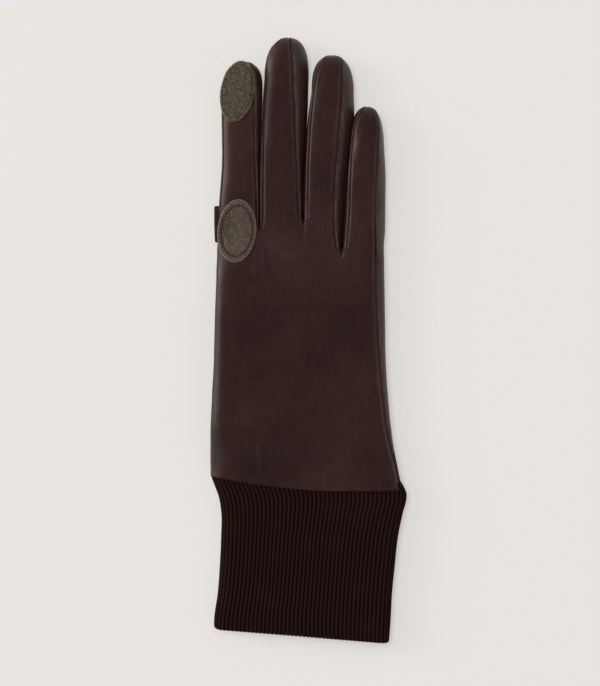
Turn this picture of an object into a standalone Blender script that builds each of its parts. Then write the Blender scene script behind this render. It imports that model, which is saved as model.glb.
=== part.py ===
"""A leather glove for the right hand with a fold-back index fingertip and a ribbed cuff, lying on its palm.

+X runs towards the little finger, +Y towards the fingertips and +Z out of the back of the hand. The origin is
the middle of the glove's bounding box, on the surface that it lies on. Lengths below are in millimetres, and
`place` turns them into metres.
"""

import math

import bmesh
import bpy

MM = 0.001

# Driving dimensions.
LEATHER = 0.9
LINING = 0.6
SEAM_GAP = 0.9
LAYER_GAP = 0.4
HINGE_GAP = 0.6
FINGER_HEIGHT = 13.6
HAND_HEIGHT = 13.0
CUFF_HEIGHT = 11.0
THUMB_HEIGHT = 9.0
FINGER_GAP = 0.25
SECTION_POWER = 2.4
DOME_POWER = 2.1
DOME_END = 0.997
SIDE_REACH = 0.8
SIDE_END_DEGREES = 11
PALM_LIFT = 9.7
FOLD_Y = 84.7
SLIT_Y = 67.0
KNUCKLE_Y = 57.5
WEB_Y = 41.8
WEB_X = 15.4
PATCH_THICKNESS = 1.1
PATCH_DROOP = 2.2
THREAD_RADIUS = 0.16
THREAD_GAP = 0.12
OUTSEAM = 0.08
THUMB_SIDE_FOLD = 0.52

# Each finger: where its edges run, as (y, left x, right x) from the root to the shoulder where the dome
# starts, then the tip of the dome, the height of its underside, and its seams as degrees round the section
# (0 is the little-finger side, 90 the top).
FINGERS = {
    "index": {
        "edges": ((38.0, -43.4, -23.0), (63.0, -42.2, -23.0), (84.7, -40.9, -22.9), (114.0, -40.9, -22.7)),
        "tip": (-31.0, 132.0),
        "floor": 1.4,
        "seams": {"right": 53, "left": 155, "palm_left": 200, "palm_right": 335},
    },
    "middle": {
        "edges": ((38.0, -22.6, -3.6), (56.4, -22.0, -3.5), (95.0, -22.1, -2.3), (124.0, -21.6, -0.5)),
        "tip": (-9.4, 143.8),
        "floor": 0.0,
        "seams": {"right": 62, "left": 165, "palm_left": 205, "palm_right": 335},
    },
    "ring": {
        "edges": ((38.0, -3.2, 15.4), (56.4, -2.8, 15.5), (95.0, -1.5, 18.1), (118.0, 0.4, 20.8)),
        "tip": (12.2, 135.5),
        "floor": 0.0,
        "seams": {"right": 59, "left": 152, "palm_left": 205, "palm_right": 335},
    },
    "little": {
        "edges": ((38.0, 15.8, 35.9), (62.0, 16.3, 36.5), (76.4, 16.7, 36.9), (94.0, 17.9, 36.3)),
        "tip": (28.8, 111.0),
        "floor": 0.0,
        "seams": {"right": 49, "left": 141, "palm_left": 205, "palm_right": 335},
    },
}
ROOT_Y = {"middle": KNUCKLE_Y, "ring": KNUCKLE_Y, "little": WEB_Y}

# The hand's and the cuff's edges, as (y, left x, right x), from the fingers to the wrist.
HAND_EDGES = (
    (41.6, -43.4, 35.9),
    (19.4, -43.8, 36.1),
    (-18.6, -45.3, 37.3),
    (-37.6, -46.0, 39.0),
    (-51.9, -46.4, 40.9),
    (-71.0, -46.5, 44.6),
)
CUFF_EDGES = (
    (-64.0, -46.0, 45.0),
    (-68.0, -44.0, 45.6),
    (-73.7, -42.2, 46.5),
    (-82.0, -41.5, 44.6),
    (-94.0, -41.6, 42.6),
    (-107.0, -42.2, 41.2),
    (-120.0, -43.2, 39.8),
    (-133.0, -45.0, 39.0),
    (-143.8, -44.6, 38.4),
)
HEM_LOW_Y = -71.0
HEM_RISE = 7.0
HEM_BEND_X = 10.0
CUFF_END_LEFT_Y = -137.6
CUFF_END_RIGHT_Y = -144.4
KNIT = 1.0
KNIT_TURN = 0.4

THUMB_PIVOT = (-27.0, -28.0)
THUMB_LENGTH = 57.0
THUMB_TILT = math.radians(6)
THUMB_BASE_RADIUS = 14.0
THUMB_MOUTH_RADIUS = 10.0
THUMB_SECTION_POWER = 3.2
THUMB_SEAM_FADE = 4.1

LOOP_PATCH = {"centre": (-32.7, 117.9), "half": (8.9, 15.0), "tilt": math.radians(-8)}
HOOK_PATCH = {"centre": (-33.9, 51.4), "half": (9.0, 15.2), "tilt": math.radians(-5)}

LEATHER_BROWN = (0.045, 0.021, 0.018)
LINING_BROWN = (0.075, 0.045, 0.035)
KNIT_BROWN = (0.016, 0.007, 0.006)
PATCH_OLIVE = (0.078, 0.062, 0.042)
PATCH_GREY = (0.085, 0.068, 0.052)
THREAD_BROWN = (0.03, 0.012, 0.01)


def start_scene():
    for found in list(bpy.data.objects):
        bpy.data.objects.remove(found)
    collections = []
    for name in ("touchscreen_glove", "cutters"):
        collection = bpy.data.collections.new(name)
        bpy.context.scene.collection.children.link(collection)
        collections.append(collection)
    return collections


def material(name, colour, roughness):
    made = bpy.data.materials.new(name)
    made.use_nodes = True
    shader = made.node_tree.nodes["Principled BSDF"]
    shader.inputs["Base Color"].default_value = (*colour, 1.0)
    shader.inputs["Roughness"].default_value = roughness
    shader.inputs["Metallic"].default_value = 0.0
    return made


PARTS, CUTTERS = start_scene()
MATERIALS = {
    "leather": material("leather", LEATHER_BROWN, 0.5),
    "lining": material("lining", LINING_BROWN, 0.9),
    "knit": material("knit", KNIT_BROWN, 0.9),
    "loop": material("loop_tape", PATCH_OLIVE, 0.95),
    "hook": material("hook_tape", PATCH_GREY, 0.7),
    "thread": material("thread", THREAD_BROWN, 0.6),
}


def smooth_step(value):
    value = min(max(value, 0.0), 1.0)
    return value * value * (3 - 2 * value)


def between(rows, y):
    """The left and right x of an edge table at y, read from a smooth curve through its rows."""
    rows = sorted(rows)
    y = min(max(y, rows[0][0]), rows[-1][0])
    spot = next(i for i in range(1, len(rows)) if y <= rows[i][0])
    low, high = rows[spot - 1], rows[spot]
    before = rows[spot - 2] if spot > 1 else low
    after = rows[spot + 1] if spot + 1 < len(rows) else high
    span = high[0] - low[0]
    share = (y - low[0]) / span
    found = []
    for side in (1, 2):
        slope_low = (high[side] - before[side]) / (high[0] - before[0]) * span
        slope_high = (after[side] - low[side]) / (after[0] - low[0]) * span
        found.append(
            (2 * share**3 - 3 * share**2 + 1) * low[side]
            + (share**3 - 2 * share**2 + share) * slope_low
            + (3 * share**2 - 2 * share**3) * high[side]
            + (share**3 - share**2) * slope_high
        )
    return found


def lift(x, y):
    """How far the thumb under the palm holds the hand off the surface at (x, y)."""
    across = 1 - smooth_step((x + 6.0) / 34.0)
    along = smooth_step((y + 64.0) / 24.0) * (1 - smooth_step((y - 28.0) / 30.0))
    return PALM_LIFT * across * along


def place(x, y, z, lifted):
    return (x * MM, y * MM, (z + (lift(x, y) if lifted else 0.0)) * MM)


def signed_power(value, power):
    return math.copysign(abs(value) ** power, value)


def finger_section(finger, y, inset=0.0):
    """The centre x, half width, centre z and half height at y of a skin `inset` inside a finger."""
    shape = FINGERS[finger]
    shoulder = shape["edges"][-1][0]
    left, right = between(shape["edges"], min(y, shoulder))
    half_width = (right - left) / 2 - FINGER_GAP - inset
    half_height = FINGER_HEIGHT / 2 - inset
    centre = (left + right) / 2
    if y > shoulder:
        tip_x, tip_y = shape["tip"]
        share = min((y - shoulder) / (tip_y - inset - shoulder), 1.0)
        closing = (1 - share**DOME_POWER) ** (1 / DOME_POWER)
        half_width *= closing
        half_height *= closing
        centre += (tip_x - centre) * share**2
    return centre, half_width, shape["floor"] + FINGER_HEIGHT / 2, half_height


def finger_point(finger, degrees, y, inset, spread=0.0):
    """A point on a finger's skin. spread holds its upper and lower halves apart."""
    centre, half_width, middle, half_height = finger_section(finger, y, inset)
    angle = math.radians(degrees)
    x = centre + half_width * signed_power(math.cos(angle), 2 / SECTION_POWER)
    z = middle + half_height * signed_power(math.sin(angle), 2 / SECTION_POWER)
    return place(x, y, z + math.copysign(spread, math.sin(angle)), True)


def flat_section(left, right, height, share):
    """A point round a flattened tube: flat faces and half-round sides, from 0 and 1 at the middle of
    the right side to 0.5 at the middle of the left. Each side takes 0.2 and each face 0.3."""
    radius = height / 2
    flat = right - left - height
    share %= 1.0
    upper = share <= 0.5
    along = min(share, 1 - share)
    if along < 0.1:
        angle = along / 0.1 * math.pi / 2
        x, rise = right - radius + radius * math.cos(angle), radius * math.sin(angle)
    elif along <= 0.4:
        x, rise = right - radius - flat * (along - 0.1) / 0.3, radius
    else:
        angle = (0.5 - along) / 0.1 * math.pi / 2
        x, rise = left + radius - radius * math.cos(angle), radius * math.sin(angle)
    return x, radius + (rise if upper else -rise)


def hem_y(x):
    return HEM_LOW_Y + HEM_RISE * max((HEM_BEND_X - x) / 56.0, 0.0) ** 1.6


def add_object(name, mesh, look, collection=None):
    made = bpy.data.objects.new(name, mesh)
    (collection or PARTS).objects.link(made)
    if look:
        mesh.materials.append(MATERIALS[look])
    return made


def shell(name, point_at, across, along, thickness, look, keep=None):
    """An open sheet with its points at point_at(u, v), made into a wall with Solidify.

    u cross v faces out, and the wall grows inwards. keep(u, v) says which faces stay.
    """
    sheet = bmesh.new()
    bmesh.ops.create_grid(sheet, x_segments=across, y_segments=along, size=0.5)
    if keep:
        dropped = [
            face
            for face in sheet.faces
            if not keep(face.calc_center_median().x + 0.5, face.calc_center_median().y + 0.5)
        ]
        bmesh.ops.delete(sheet, geom=dropped, context="FACES")
    for corner in sheet.verts:
        corner.co = point_at(corner.co.x + 0.5, corner.co.y + 0.5)
    bmesh.ops.remove_doubles(sheet, verts=sheet.verts, dist=1e-6)
    mesh = bpy.data.meshes.new(name)
    sheet.to_mesh(mesh)
    sheet.free()
    mesh.shade_smooth()
    made = add_object(name, mesh, look)
    wall = made.modifiers.new("wall", "SOLIDIFY")
    wall.thickness = thickness * MM
    wall.offset = -1.0
    return made


def dome_y(finger, row, start, reach, inset=0.0):
    """The y of a row from 0 to 1, half of them round the dome, climbed as far as the share `reach`."""
    shoulder, tip = FINGERS[finger]["edges"][-1][0], FINGERS[finger]["tip"][1] - inset
    if row <= 0.5:
        return start + (shoulder - start) * row * 2
    return shoulder + (tip - shoulder) * math.sin((row * 2 - 1) * math.asin(reach))


def finger_wall(name, finger, first, last, start_y, reach, rows):
    """A leather wall of a finger between two seam angles, closing towards its sides at the tip."""
    shoulder, tip = FINGERS[finger]["edges"][-1][0], FINGERS[finger]["tip"][1]

    def aim(degrees):
        side = 0 if degrees < 90 or degrees > 300 else 180
        turn = 360 if degrees > 300 else 0
        return side + turn + math.copysign(SIDE_END_DEGREES, degrees - side - turn)

    def point_at(u, v):
        y = dome_y(finger, v, start_y, reach)
        share = max((y - shoulder) / (tip - shoulder), 0.0)
        closing = (1 - share**DOME_POWER) ** (1 / DOME_POWER)
        half_gap = math.degrees(SEAM_GAP / 2 / 7.5) / max(closing, 0.5)
        share = smooth_step(share / SIDE_REACH)
        low = first + (aim(first) - first) * share + half_gap
        high = last + (aim(last) - last) * share - half_gap
        return finger_point(finger, high + (low - high) * u, y, 0.0, SEAM_GAP / 2 * share)

    return shell(name, point_at, 6, rows, LEATHER, "leather")


def straight_wall(name, finger, first, last, low_y, high_y):
    """A leather wall of a finger between two seam angles and two heights along it."""
    half_gap = math.degrees(SEAM_GAP / 2 / 7.5)

    def point_at(u, v):
        degrees = last - half_gap + (first - last + 2 * half_gap) * u
        return finger_point(finger, degrees, low_y + (high_y - low_y) * v, 0.0)

    return shell(name, point_at, 6, 3, LEATHER, "leather")


def finger_lining(name, finger, start_y, end_y=None):
    inset = LEATHER + LAYER_GAP

    def point_at(u, v):
        y = start_y + (end_y - start_y) * v if end_y else dome_y(finger, v, start_y, 1.0, inset)
        return finger_point(finger, 360 - 360 * u, y, inset)

    return shell(name, point_at, 14, 3 if end_y else 9, LINING, "lining")


def hand_section(y, share, inset):
    """A point of the hand's section `inset` inside its skin. Above the web the section keeps its shape."""
    left, right = between(HAND_EDGES, y)
    x, z = flat_section(left + inset, right - inset, HAND_HEIGHT - 2 * inset, share)
    return x, z + inset


def web_share(inset):
    """The share of the section where the ring finger's little-finger side stands."""
    left, right = between(HAND_EDGES, WEB_Y)
    radius = HAND_HEIGHT / 2 - inset
    flat = right - left - 2 * inset - 2 * radius
    return 0.1 + 0.3 * (right - inset - radius - WEB_X + inset) / flat


def hand_sheet(name, first, web, last, inset, thickness, look):
    """A panel of the hand from the share `first` to `last`, cut away above the web past the share `web`."""
    columns, rows = (7, 13), (12, 3)
    web_first = abs(last - web) > abs(web - first)
    column_break = (columns[0] if web_first else columns[1]) / sum(columns)
    row_break = rows[0] / sum(rows)

    def point_at(u, v):
        if u <= column_break:
            share = first + (web - first) * u / column_break
        else:
            share = web + (last - web) * (u - column_break) / (1 - column_break)
        if v > row_break:
            y = WEB_Y + (KNUCKLE_Y - HINGE_GAP / 2 - WEB_Y) * (v - row_break) / (1 - row_break)
            x, z = hand_section(WEB_Y, share, inset)
            return place(x, y, z, True)
        x, z = hand_section(HEM_LOW_Y + (WEB_Y - HEM_LOW_Y) * v / row_break, share, inset)
        top = WEB_Y - HINGE_GAP / 2
        hem = hem_y(x)
        return place(x, hem + (top - hem) * v / row_break, z, True)

    def keep(u, v):
        beyond = u < column_break if web_first else u > column_break
        return v < row_break or not beyond

    return shell(name, point_at, sum(columns), sum(rows), thickness, look, keep)


def hand():
    """The back and the palm of the hand in leather, joined by the outseam, and their linings."""
    gap = 0.0045
    for side, inset, thickness, look in (
        ("panel", 0.0, LEATHER, "leather"),
        ("lining", LEATHER + LAYER_GAP, LINING, "lining"),
    ):
        web = web_share(inset)
        hand_sheet(
            f"hand_back_{side}", THUMB_SIDE_FOLD - gap, web, OUTSEAM + gap, inset, thickness, look
        )
        palm = hand_sheet(
            f"hand_palm_{side}", 1 + OUTSEAM - gap, 1 - web, THUMB_SIDE_FOLD + gap, inset, thickness, look
        )
        height = PALM_LIFT + inset + thickness / 2
        cut(palm, round_cutter(f"thumb_hole_in_{side}", THUMB_MOUTH_RADIUS + 0.6 + inset / 4, height))
    web_wall()


def web_wall():
    """The wall between the ring finger and the little finger, down to their crotch."""
    low = LEATHER + LAYER_GAP

    def point_at(u, v):
        y = WEB_Y + 0.2 + (KNUCKLE_Y - HINGE_GAP / 2 - WEB_Y - 0.2) * u
        return place(WEB_X, y, low + (HAND_HEIGHT - 2 * low) * v, True)

    shell("ring_web_fourchette", point_at, 4, 2, LEATHER, "leather")


def round_cutter(name, radius, height):
    mesh = bpy.data.meshes.new(name)
    drum = bmesh.new()
    bmesh.ops.create_cone(
        drum, cap_ends=True, segments=28, radius1=radius * MM, radius2=radius * MM, depth=4 * MM
    )
    drum.to_mesh(mesh)
    drum.free()
    made = add_object(name, mesh, None, CUTTERS)
    made.location = (THUMB_PIVOT[0] * MM, THUMB_PIVOT[1] * MM, height * MM)
    made.hide_render = True
    made.display_type = "WIRE"
    return made


def cut(target, cutter):
    tool = target.modifiers.new("hole", "BOOLEAN")
    tool.operation = "DIFFERENCE"
    tool.object = cutter


def finger_walls(prefix, finger, start_y, palm_start_y=None):
    """The back, the palm, the two side walls and the lining of a finger, closed at its tip."""
    right, left, palm_left, palm_right = FINGERS[finger]["seams"].values()
    palm_y = palm_start_y or start_y
    finger_wall(f"{prefix}_back", finger, right, left, start_y, DOME_END, 10)
    finger_wall(f"{prefix}_palm", finger, palm_left, palm_right, palm_y, DOME_END, 10)
    finger_wall(f"{prefix}_outer_fourchette", finger, palm_right - 360, right, start_y, SIDE_REACH, 8)
    finger_wall(f"{prefix}_inner_fourchette", finger, left, palm_left, start_y, SIDE_REACH, 8)
    finger_lining(f"{prefix}_lining", finger, start_y)


def fingers():
    for finger, root in ROOT_Y.items():
        finger_walls(finger, finger, root + HINGE_GAP / 2)


def index_finger():
    """The index finger: its base, the leather it folds on and the fingertip that folds back."""
    right, left, palm_left, palm_right = FINGERS["index"]["seams"].values()
    base = (KNUCKLE_Y + HINGE_GAP / 2, SLIT_Y - HINGE_GAP / 2)
    middle = (SLIT_Y + HINGE_GAP / 2, FOLD_Y - HINGE_GAP / 2)
    straight_wall("index_base_back", "index", right, left, *base)
    straight_wall("index_base_fourchette", "index", palm_right - 360, right, *base)
    straight_wall("index_base_palm", "index", left, palm_right, *base)
    finger_lining("index_base_lining", "index", *base)
    straight_wall("index_tongue", "index", right, left, *middle)
    straight_wall("index_outer_gusset", "index", palm_right - 360, right, *middle)
    straight_wall("index_inner_gusset", "index", left, palm_left, *middle)
    finger_walls("index_cap", "index", FOLD_Y + HINGE_GAP / 2, SLIT_Y + HINGE_GAP / 2)
    binding()


def binding():
    """The folded edge that stands out from the thumb's side of the index finger's base."""
    low_y, high_y = 46.4, 64.0

    def point_at(u, v):
        x, z = hand_section(WEB_Y, 0.46 + 0.09 * u, -LEATHER - LAYER_GAP)
        return place(x, low_y + (high_y - low_y) * v, z, True)

    shell("index_side_binding", point_at, 5, 4, LEATHER, "leather")


def back_height(x, y, rise):
    """The height above the index finger's or the hand's back at (x, y), `rise` out from the leather."""
    floor = FINGERS["index"]["floor"]
    crown = FINGER_HEIGHT + floor + rise
    centre, half_width, middle, half_height = finger_section("index", y, -rise)
    across = min(abs(x - centre) / max(half_width, 0.1), 1.0)
    finger = middle + half_height * (1 - across**SECTION_POWER) ** (1 / SECTION_POWER)
    return max(finger, crown - PATCH_DROOP)


def patch_point(patch, angle, reach, rise):
    half_x, half_y = patch["half"]
    along_x, along_y = reach * half_x * math.cos(angle), reach * half_y * math.sin(angle)
    tilt = patch["tilt"]
    x = patch["centre"][0] + along_x * math.cos(tilt) - along_y * math.sin(tilt)
    y = patch["centre"][1] + along_x * math.sin(tilt) + along_y * math.cos(tilt)
    return place(x, y, back_height(x, y, rise), True)


def patches():
    """The loop and hook patches, which hold the fingertip back, each sewn on with a ring of stitching."""
    crown = LAYER_GAP + PATCH_THICKNESS + 0.1
    for name, patch, look in (("loop_patch", LOOP_PATCH, "loop"), ("hook_patch", HOOK_PATCH, "hook")):
        shell(
            name,
            lambda u, v, patch=patch: patch_point(patch, -math.tau * u, v, crown),
            22,
            4,
            PATCH_THICKNESS,
            look,
        )
        height = crown + THREAD_GAP + THREAD_RADIUS
        ring = [patch_point(patch, math.tau * turn / 22, 0.75, height) for turn in range(22)]
        thread(f"{name}_stitching", ring, closed=True)


def thread(name, points, closed=False):
    curve = bpy.data.curves.new(name, "CURVE")
    curve.dimensions = "3D"
    curve.bevel_depth = THREAD_RADIUS * MM
    curve.bevel_resolution = 0
    curve.use_fill_caps = not closed
    line = curve.splines.new("POLY")
    line.points.add(len(points) - 1)
    for spot, point in zip(line.points, points):
        spot.co = (*point, 1.0)
    line.use_cyclic_u = closed
    add_object(name, curve, "thread")


def spread(first, last, count):
    return [first + (last - first) * step / (count - 1) for step in range(count)]


def seam_threads():
    """The sewing thread of each long seam, laid in the gap between the leathers that it joins."""
    for finger in FINGERS:
        seams = FINGERS[finger]["seams"]
        start = FOLD_Y if finger == "index" else ROOT_Y[finger]
        rows = spread(start + 1.5, FINGERS[finger]["edges"][-1][0] - 0.5, 10)
        line = [finger_point(finger, seams["right"], y, 0.0) for y in rows]
        thread(f"{finger}_seam_thread", line)
    rows = spread(-58.0, WEB_Y - 3.0, 14)
    thread("outseam_thread", [place(*in_hand(y, OUTSEAM), True) for y in rows])
    shares = spread(0.03, 0.47, 24)
    hem = []
    for share in shares:
        x, z = hand_section(HEM_LOW_Y, share, 0.0)
        hem.append(place(x, hem_y(x) + 1.0, z + 0.8, True))
    thread("cuff_seam_thread", hem)
    radius = THUMB_MOUTH_RADIUS + 1.3
    height = (THUMB_HEIGHT + PALM_LIFT) / 2
    angles = spread(0.0, math.tau, 25)[:-1]
    pivot_x, pivot_y = THUMB_PIVOT
    ring = [
        place(pivot_x + radius * math.cos(turn), pivot_y + radius * math.sin(turn), height, False)
        for turn in angles
    ]
    thread("thumb_seam_thread", ring, closed=True)


def in_hand(y, share):
    x, z = hand_section(y, share, 0.0)
    return x, y, z


def cuff_end_y(x):
    share = (x - CUFF_EDGES[-1][1]) / (CUFF_EDGES[-1][2] - CUFF_EDGES[-1][1])
    return CUFF_END_LEFT_Y + (CUFF_END_RIGHT_Y - CUFF_END_LEFT_Y) * share


def cuff_point(share, run, inset):
    """A point on the cuff, where run is 0 at the seam and 1 at the hem."""
    y = HEM_LOW_Y - 0.3 + (CUFF_END_RIGHT_Y - HEM_LOW_Y + 0.3) * run
    left, right = between(CUFF_EDGES, y)
    x, z = flat_section(left + inset, right - inset, CUFF_HEIGHT - 2 * inset, share)
    top = hem_y(x) - 0.5
    return place(x, top + (cuff_end_y(x) - top) * run, z + inset, False)


def rib_cuff():
    """One knitted tube folded in two at the hem, so that it is two layers thick."""
    folds, middle = 0.25, 0.5
    radius = KNIT + KNIT_TURN

    def point_at(u, v):
        share = u
        if v < middle - folds / 2:
            return cuff_point(share, 0.98 * v / (middle - folds / 2), 0.0)
        if v > middle + folds / 2:
            return cuff_point(share, 0.98 * (1 - v) / (middle - folds / 2), 2 * radius)
        angle = (v - middle + folds / 2) / folds * math.pi
        x, y, z = cuff_point(share, 0.98, radius * (1 - math.cos(angle)))
        return x, y - radius * math.sin(angle) * MM, z

    return shell("rib_cuff", point_at, 36, 12, KNIT, "knit")


def seam_tape():
    """The tape inside the wrist that covers the join of leather, lining and knit."""
    inset = LEATHER + 2 * LAYER_GAP + LINING + 0.5

    def point_at(u, v):
        x, z = hand_section(HEM_LOW_Y, 1 - u, inset)
        return place(x * 0.97, hem_y(x) + 1.0 + 5.0 * v, z, True)

    shell("wrist_seam_tape", point_at, 40, 2, 0.5, "lining")


def thumb_section(run):
    """Half width and half height of the thumb at a distance from its pivot."""
    shoulder = THUMB_LENGTH - 16
    if run < 0:
        closing = math.sqrt(max(1 - (run / THUMB_BASE_RADIUS) ** 2, 0.0))
        return THUMB_BASE_RADIUS * closing, THUMB_HEIGHT / 2 * closing**0.6
    width = THUMB_BASE_RADIUS - 3.4 * smooth_step(run / 30)
    closing = 1.0
    if run > shoulder:
        share = min((run - shoulder) / (THUMB_LENGTH - shoulder), 1.0)
        closing = (1 - share**DOME_POWER) ** (1 / DOME_POWER)
    return width * closing, THUMB_HEIGHT / 2 * closing**0.8


def thumb_point(degrees, share, inset, gap=0.0):
    """A point on a skin `inset` inside the thumb. share is 0 at its base and 1 at its tip."""
    run = THUMB_LENGTH - (THUMB_LENGTH + THUMB_BASE_RADIUS) * (1 + math.cos(math.pi * share)) / 2
    half_width, half_height = thumb_section(run)
    middle = (THUMB_LENGTH - THUMB_BASE_RADIUS) / 2
    reach = (THUMB_LENGTH + THUMB_BASE_RADIUS) / 2
    half_width *= 1 - inset / THUMB_BASE_RADIUS
    half_height *= 1 - 2 * inset / THUMB_HEIGHT
    run = middle + (run - middle) * (1 - inset / reach)
    angle = math.radians(degrees)
    side = half_width * signed_power(math.cos(angle), 2 / SECTION_POWER)
    rise = half_height * signed_power(math.sin(angle), 2 / THUMB_SECTION_POWER)
    x = THUMB_PIVOT[0] + side * math.cos(THUMB_TILT) + run * math.sin(THUMB_TILT)
    y = THUMB_PIVOT[1] - side * math.sin(THUMB_TILT) + run * math.cos(THUMB_TILT)
    opening = math.copysign(gap, math.sin(angle)) * (1 - abs(rise) / THUMB_SEAM_FADE)
    return place(x, y, THUMB_HEIGHT / 2 + rise + opening, False)


def thumb():
    gap = SEAM_GAP / 2
    end = 0.985
    upper = shell(
        "thumb_upper",
        lambda u, v: thumb_point(178 - 176 * u, 0.015 + (end - 0.015) * v, 0.0, gap),
        10,
        14,
        LEATHER,
        "leather",
    )
    cut(upper, round_cutter("thumb_mouth", THUMB_MOUTH_RADIUS, THUMB_HEIGHT))
    shell(
        "thumb_lower",
        lambda u, v: thumb_point(358 - 176 * u, 0.015 + (end - 0.015) * v, 0.0, gap),
        10,
        14,
        LEATHER,
        "leather",
    )
    inset = LEATHER + LAYER_GAP + 0.3
    lining = shell(
        "thumb_lining",
        lambda u, v: thumb_point(360 - 360 * u, v, inset),
        14,
        12,
        LINING * 0.8,
        "lining",
    )
    cut(lining, round_cutter("thumb_lining_mouth", THUMB_MOUTH_RADIUS + 0.6, THUMB_HEIGHT - 1.0))


hand()
fingers()
index_finger()
patches()
seam_threads()
rib_cuff()
seam_tape()
thumb()
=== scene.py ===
"""A right-hand leather glove with a fold-back index fingertip, lying on its palm on a pale table.

The sections follow the glove as it is put together: the leather panels, the fingertip that folds back,
the gussets and linings, the seams, the tab, the hook and loop tape, the thumb, and last the knitted cuff.
Lengths are in millimetres, and MM turns them into metres where a mesh is made.
"""

import math

import bpy
import numpy as np
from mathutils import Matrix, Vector, noise
from mathutils.bvhtree import BVHTree


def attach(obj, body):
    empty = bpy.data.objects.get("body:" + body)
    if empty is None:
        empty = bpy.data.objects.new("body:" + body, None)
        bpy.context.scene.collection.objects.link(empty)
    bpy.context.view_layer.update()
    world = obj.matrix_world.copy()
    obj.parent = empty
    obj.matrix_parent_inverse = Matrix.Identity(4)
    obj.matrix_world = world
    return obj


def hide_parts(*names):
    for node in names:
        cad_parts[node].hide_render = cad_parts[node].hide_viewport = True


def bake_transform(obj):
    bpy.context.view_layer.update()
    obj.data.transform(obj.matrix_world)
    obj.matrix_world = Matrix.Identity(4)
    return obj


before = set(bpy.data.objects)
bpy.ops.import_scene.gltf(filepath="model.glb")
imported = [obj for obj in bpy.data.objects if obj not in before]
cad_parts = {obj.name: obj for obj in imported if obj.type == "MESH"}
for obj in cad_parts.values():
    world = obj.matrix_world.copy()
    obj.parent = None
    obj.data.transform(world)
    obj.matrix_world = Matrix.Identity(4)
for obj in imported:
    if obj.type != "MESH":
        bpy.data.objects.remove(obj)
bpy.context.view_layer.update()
bpy.ops.object.select_all(action="DESELECT")

# ---------------------------------------------------------------------------------------------------------
# The view: straight down on the back of the glove, through a long lens from far enough away that the sides
# of the fingers stay upright. VIEW_LENGTH is how much of the table the frame's long side takes in.
# ---------------------------------------------------------------------------------------------------------
MM = 0.001
VIEW_LENGTH = 325.85 * MM
VIEW_CENTRE = (-4.0 * MM, -1.1 * MM)
VIEW_PLANE = 8.0 * MM
LENS = 150.0

bpy.ops.object.camera_add(rotation=(0.0, 0.0, 0.0))
camera = bpy.context.object
camera.name = "overhead_camera"
camera.data.lens = LENS
height = VIEW_LENGTH * LENS / camera.data.sensor_width
camera.location = (*VIEW_CENTRE, VIEW_PLANE + height)
camera.data.clip_start = 0.05
camera.data.clip_end = 20.0
bpy.context.scene.camera = camera

# ---------------------------------------------------------------------------------------------------------
# The leather: full-grain lamb nappa under a millimetre thick, dyed dark brown, with a soft low sheen. It
# shines and pales where it turns over an edge, the paling partly wear and partly a painted highlight, and a
# painted shade darkens it down in the seams.
# ---------------------------------------------------------------------------------------------------------
LEATHER_DARK = (0.0200, 0.0080, 0.0068)
LEATHER_WARM = (0.0370, 0.0160, 0.0135)
LEATHER_EDGE_WEAR_AND_HIGHLIGHT = (0.1250, 0.0720, 0.0530)
SEAM_SHADE_COLOUR = (0.0030, 0.0012, 0.0010)
POLISH, POLISH_ROUGHNESS = 0.75, 0.40
CLOUD_SCALE, FIBRE_SCALE, PEBBLE_SCALE, PORE_SCALE = 26.0, 900.0, 1250.0, 4200.0
FIBRE_STRETCH = 0.16
GRAIN_DEPTH = 0.20 * MM


def new_group(name, inputs, outputs):
    """A shader node group with float or colour sockets, and its input and output nodes."""
    group = bpy.data.node_groups.new(name, "ShaderNodeTree")
    for socket, kind, value in inputs:
        made = group.interface.new_socket(socket, in_out="INPUT", socket_type=kind)
        if value is not None:
            made.default_value = value
    for socket, kind in outputs:
        group.interface.new_socket(socket, in_out="OUTPUT", socket_type=kind)
    start = group.nodes.new("NodeGroupInput")
    end = group.nodes.new("NodeGroupOutput")
    return group, start, end


def node(tree, kind, **values):
    """A node with its properties and, by name, its unlinked inputs set."""
    made = tree.nodes.new(kind)
    for name, value in values.items():
        if name in made.inputs:
            made.inputs[name].default_value = value
        else:
            setattr(made, name, value)
    return made


def noise_node(tree, coordinate, scale, detail=3.0, roughness=0.5):
    """Cloudy noise over a coordinate, from 0 to 1."""
    made = tree.nodes.new("ShaderNodeTexNoise")
    made.inputs["Scale"].default_value = scale
    made.inputs["Detail"].default_value = detail
    made.inputs["Roughness"].default_value = roughness
    tree.links.new(coordinate, made.inputs["Vector"])
    return made.outputs["Fac"]


def ramp(tree, value, low, high, to_low=0.0, to_high=1.0):
    """A value drawn from one range onto another, and held at its ends."""
    made = tree.nodes.new("ShaderNodeMapRange")
    made.inputs["From Min"].default_value = low
    made.inputs["From Max"].default_value = high
    made.inputs["To Min"].default_value = to_low
    made.inputs["To Max"].default_value = to_high
    tree.links.new(value, made.inputs["Value"])
    return made.outputs["Result"]


def maths(tree, operation, first, second=0.0):
    """One sum on two values, each a number or a socket."""
    made = tree.nodes.new("ShaderNodeMath")
    made.operation = operation
    for socket, value in zip(made.inputs, (first, second)):
        if isinstance(value, (int, float)):
            socket.default_value = value
        else:
            tree.links.new(value, socket)
    return made.outputs["Value"]


def clamped(tree, value):
    """A value held between 0 and 1."""
    return maths(tree, "MINIMUM", maths(tree, "MAXIMUM", value, 0.0), 1.0)


def mixed(tree, share, first, second):
    """A colour between two colours, each a tuple or a socket."""
    made = tree.nodes.new("ShaderNodeMix")
    made.data_type = "RGBA"
    tree.links.new(share, made.inputs["Factor"])
    for socket, value in ((made.inputs["A"], first), (made.inputs["B"], second)):
        if isinstance(value, tuple):
            socket.default_value = (*value, 1.0)
        else:
            tree.links.new(value, socket)
    return made.outputs["Result"]


def colour_sockets(group_inputs):
    """A group's colour inputs, with their values."""
    return [(name, "NodeSocketColor", (*value, 1.0)) for name, value in group_inputs]


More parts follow.
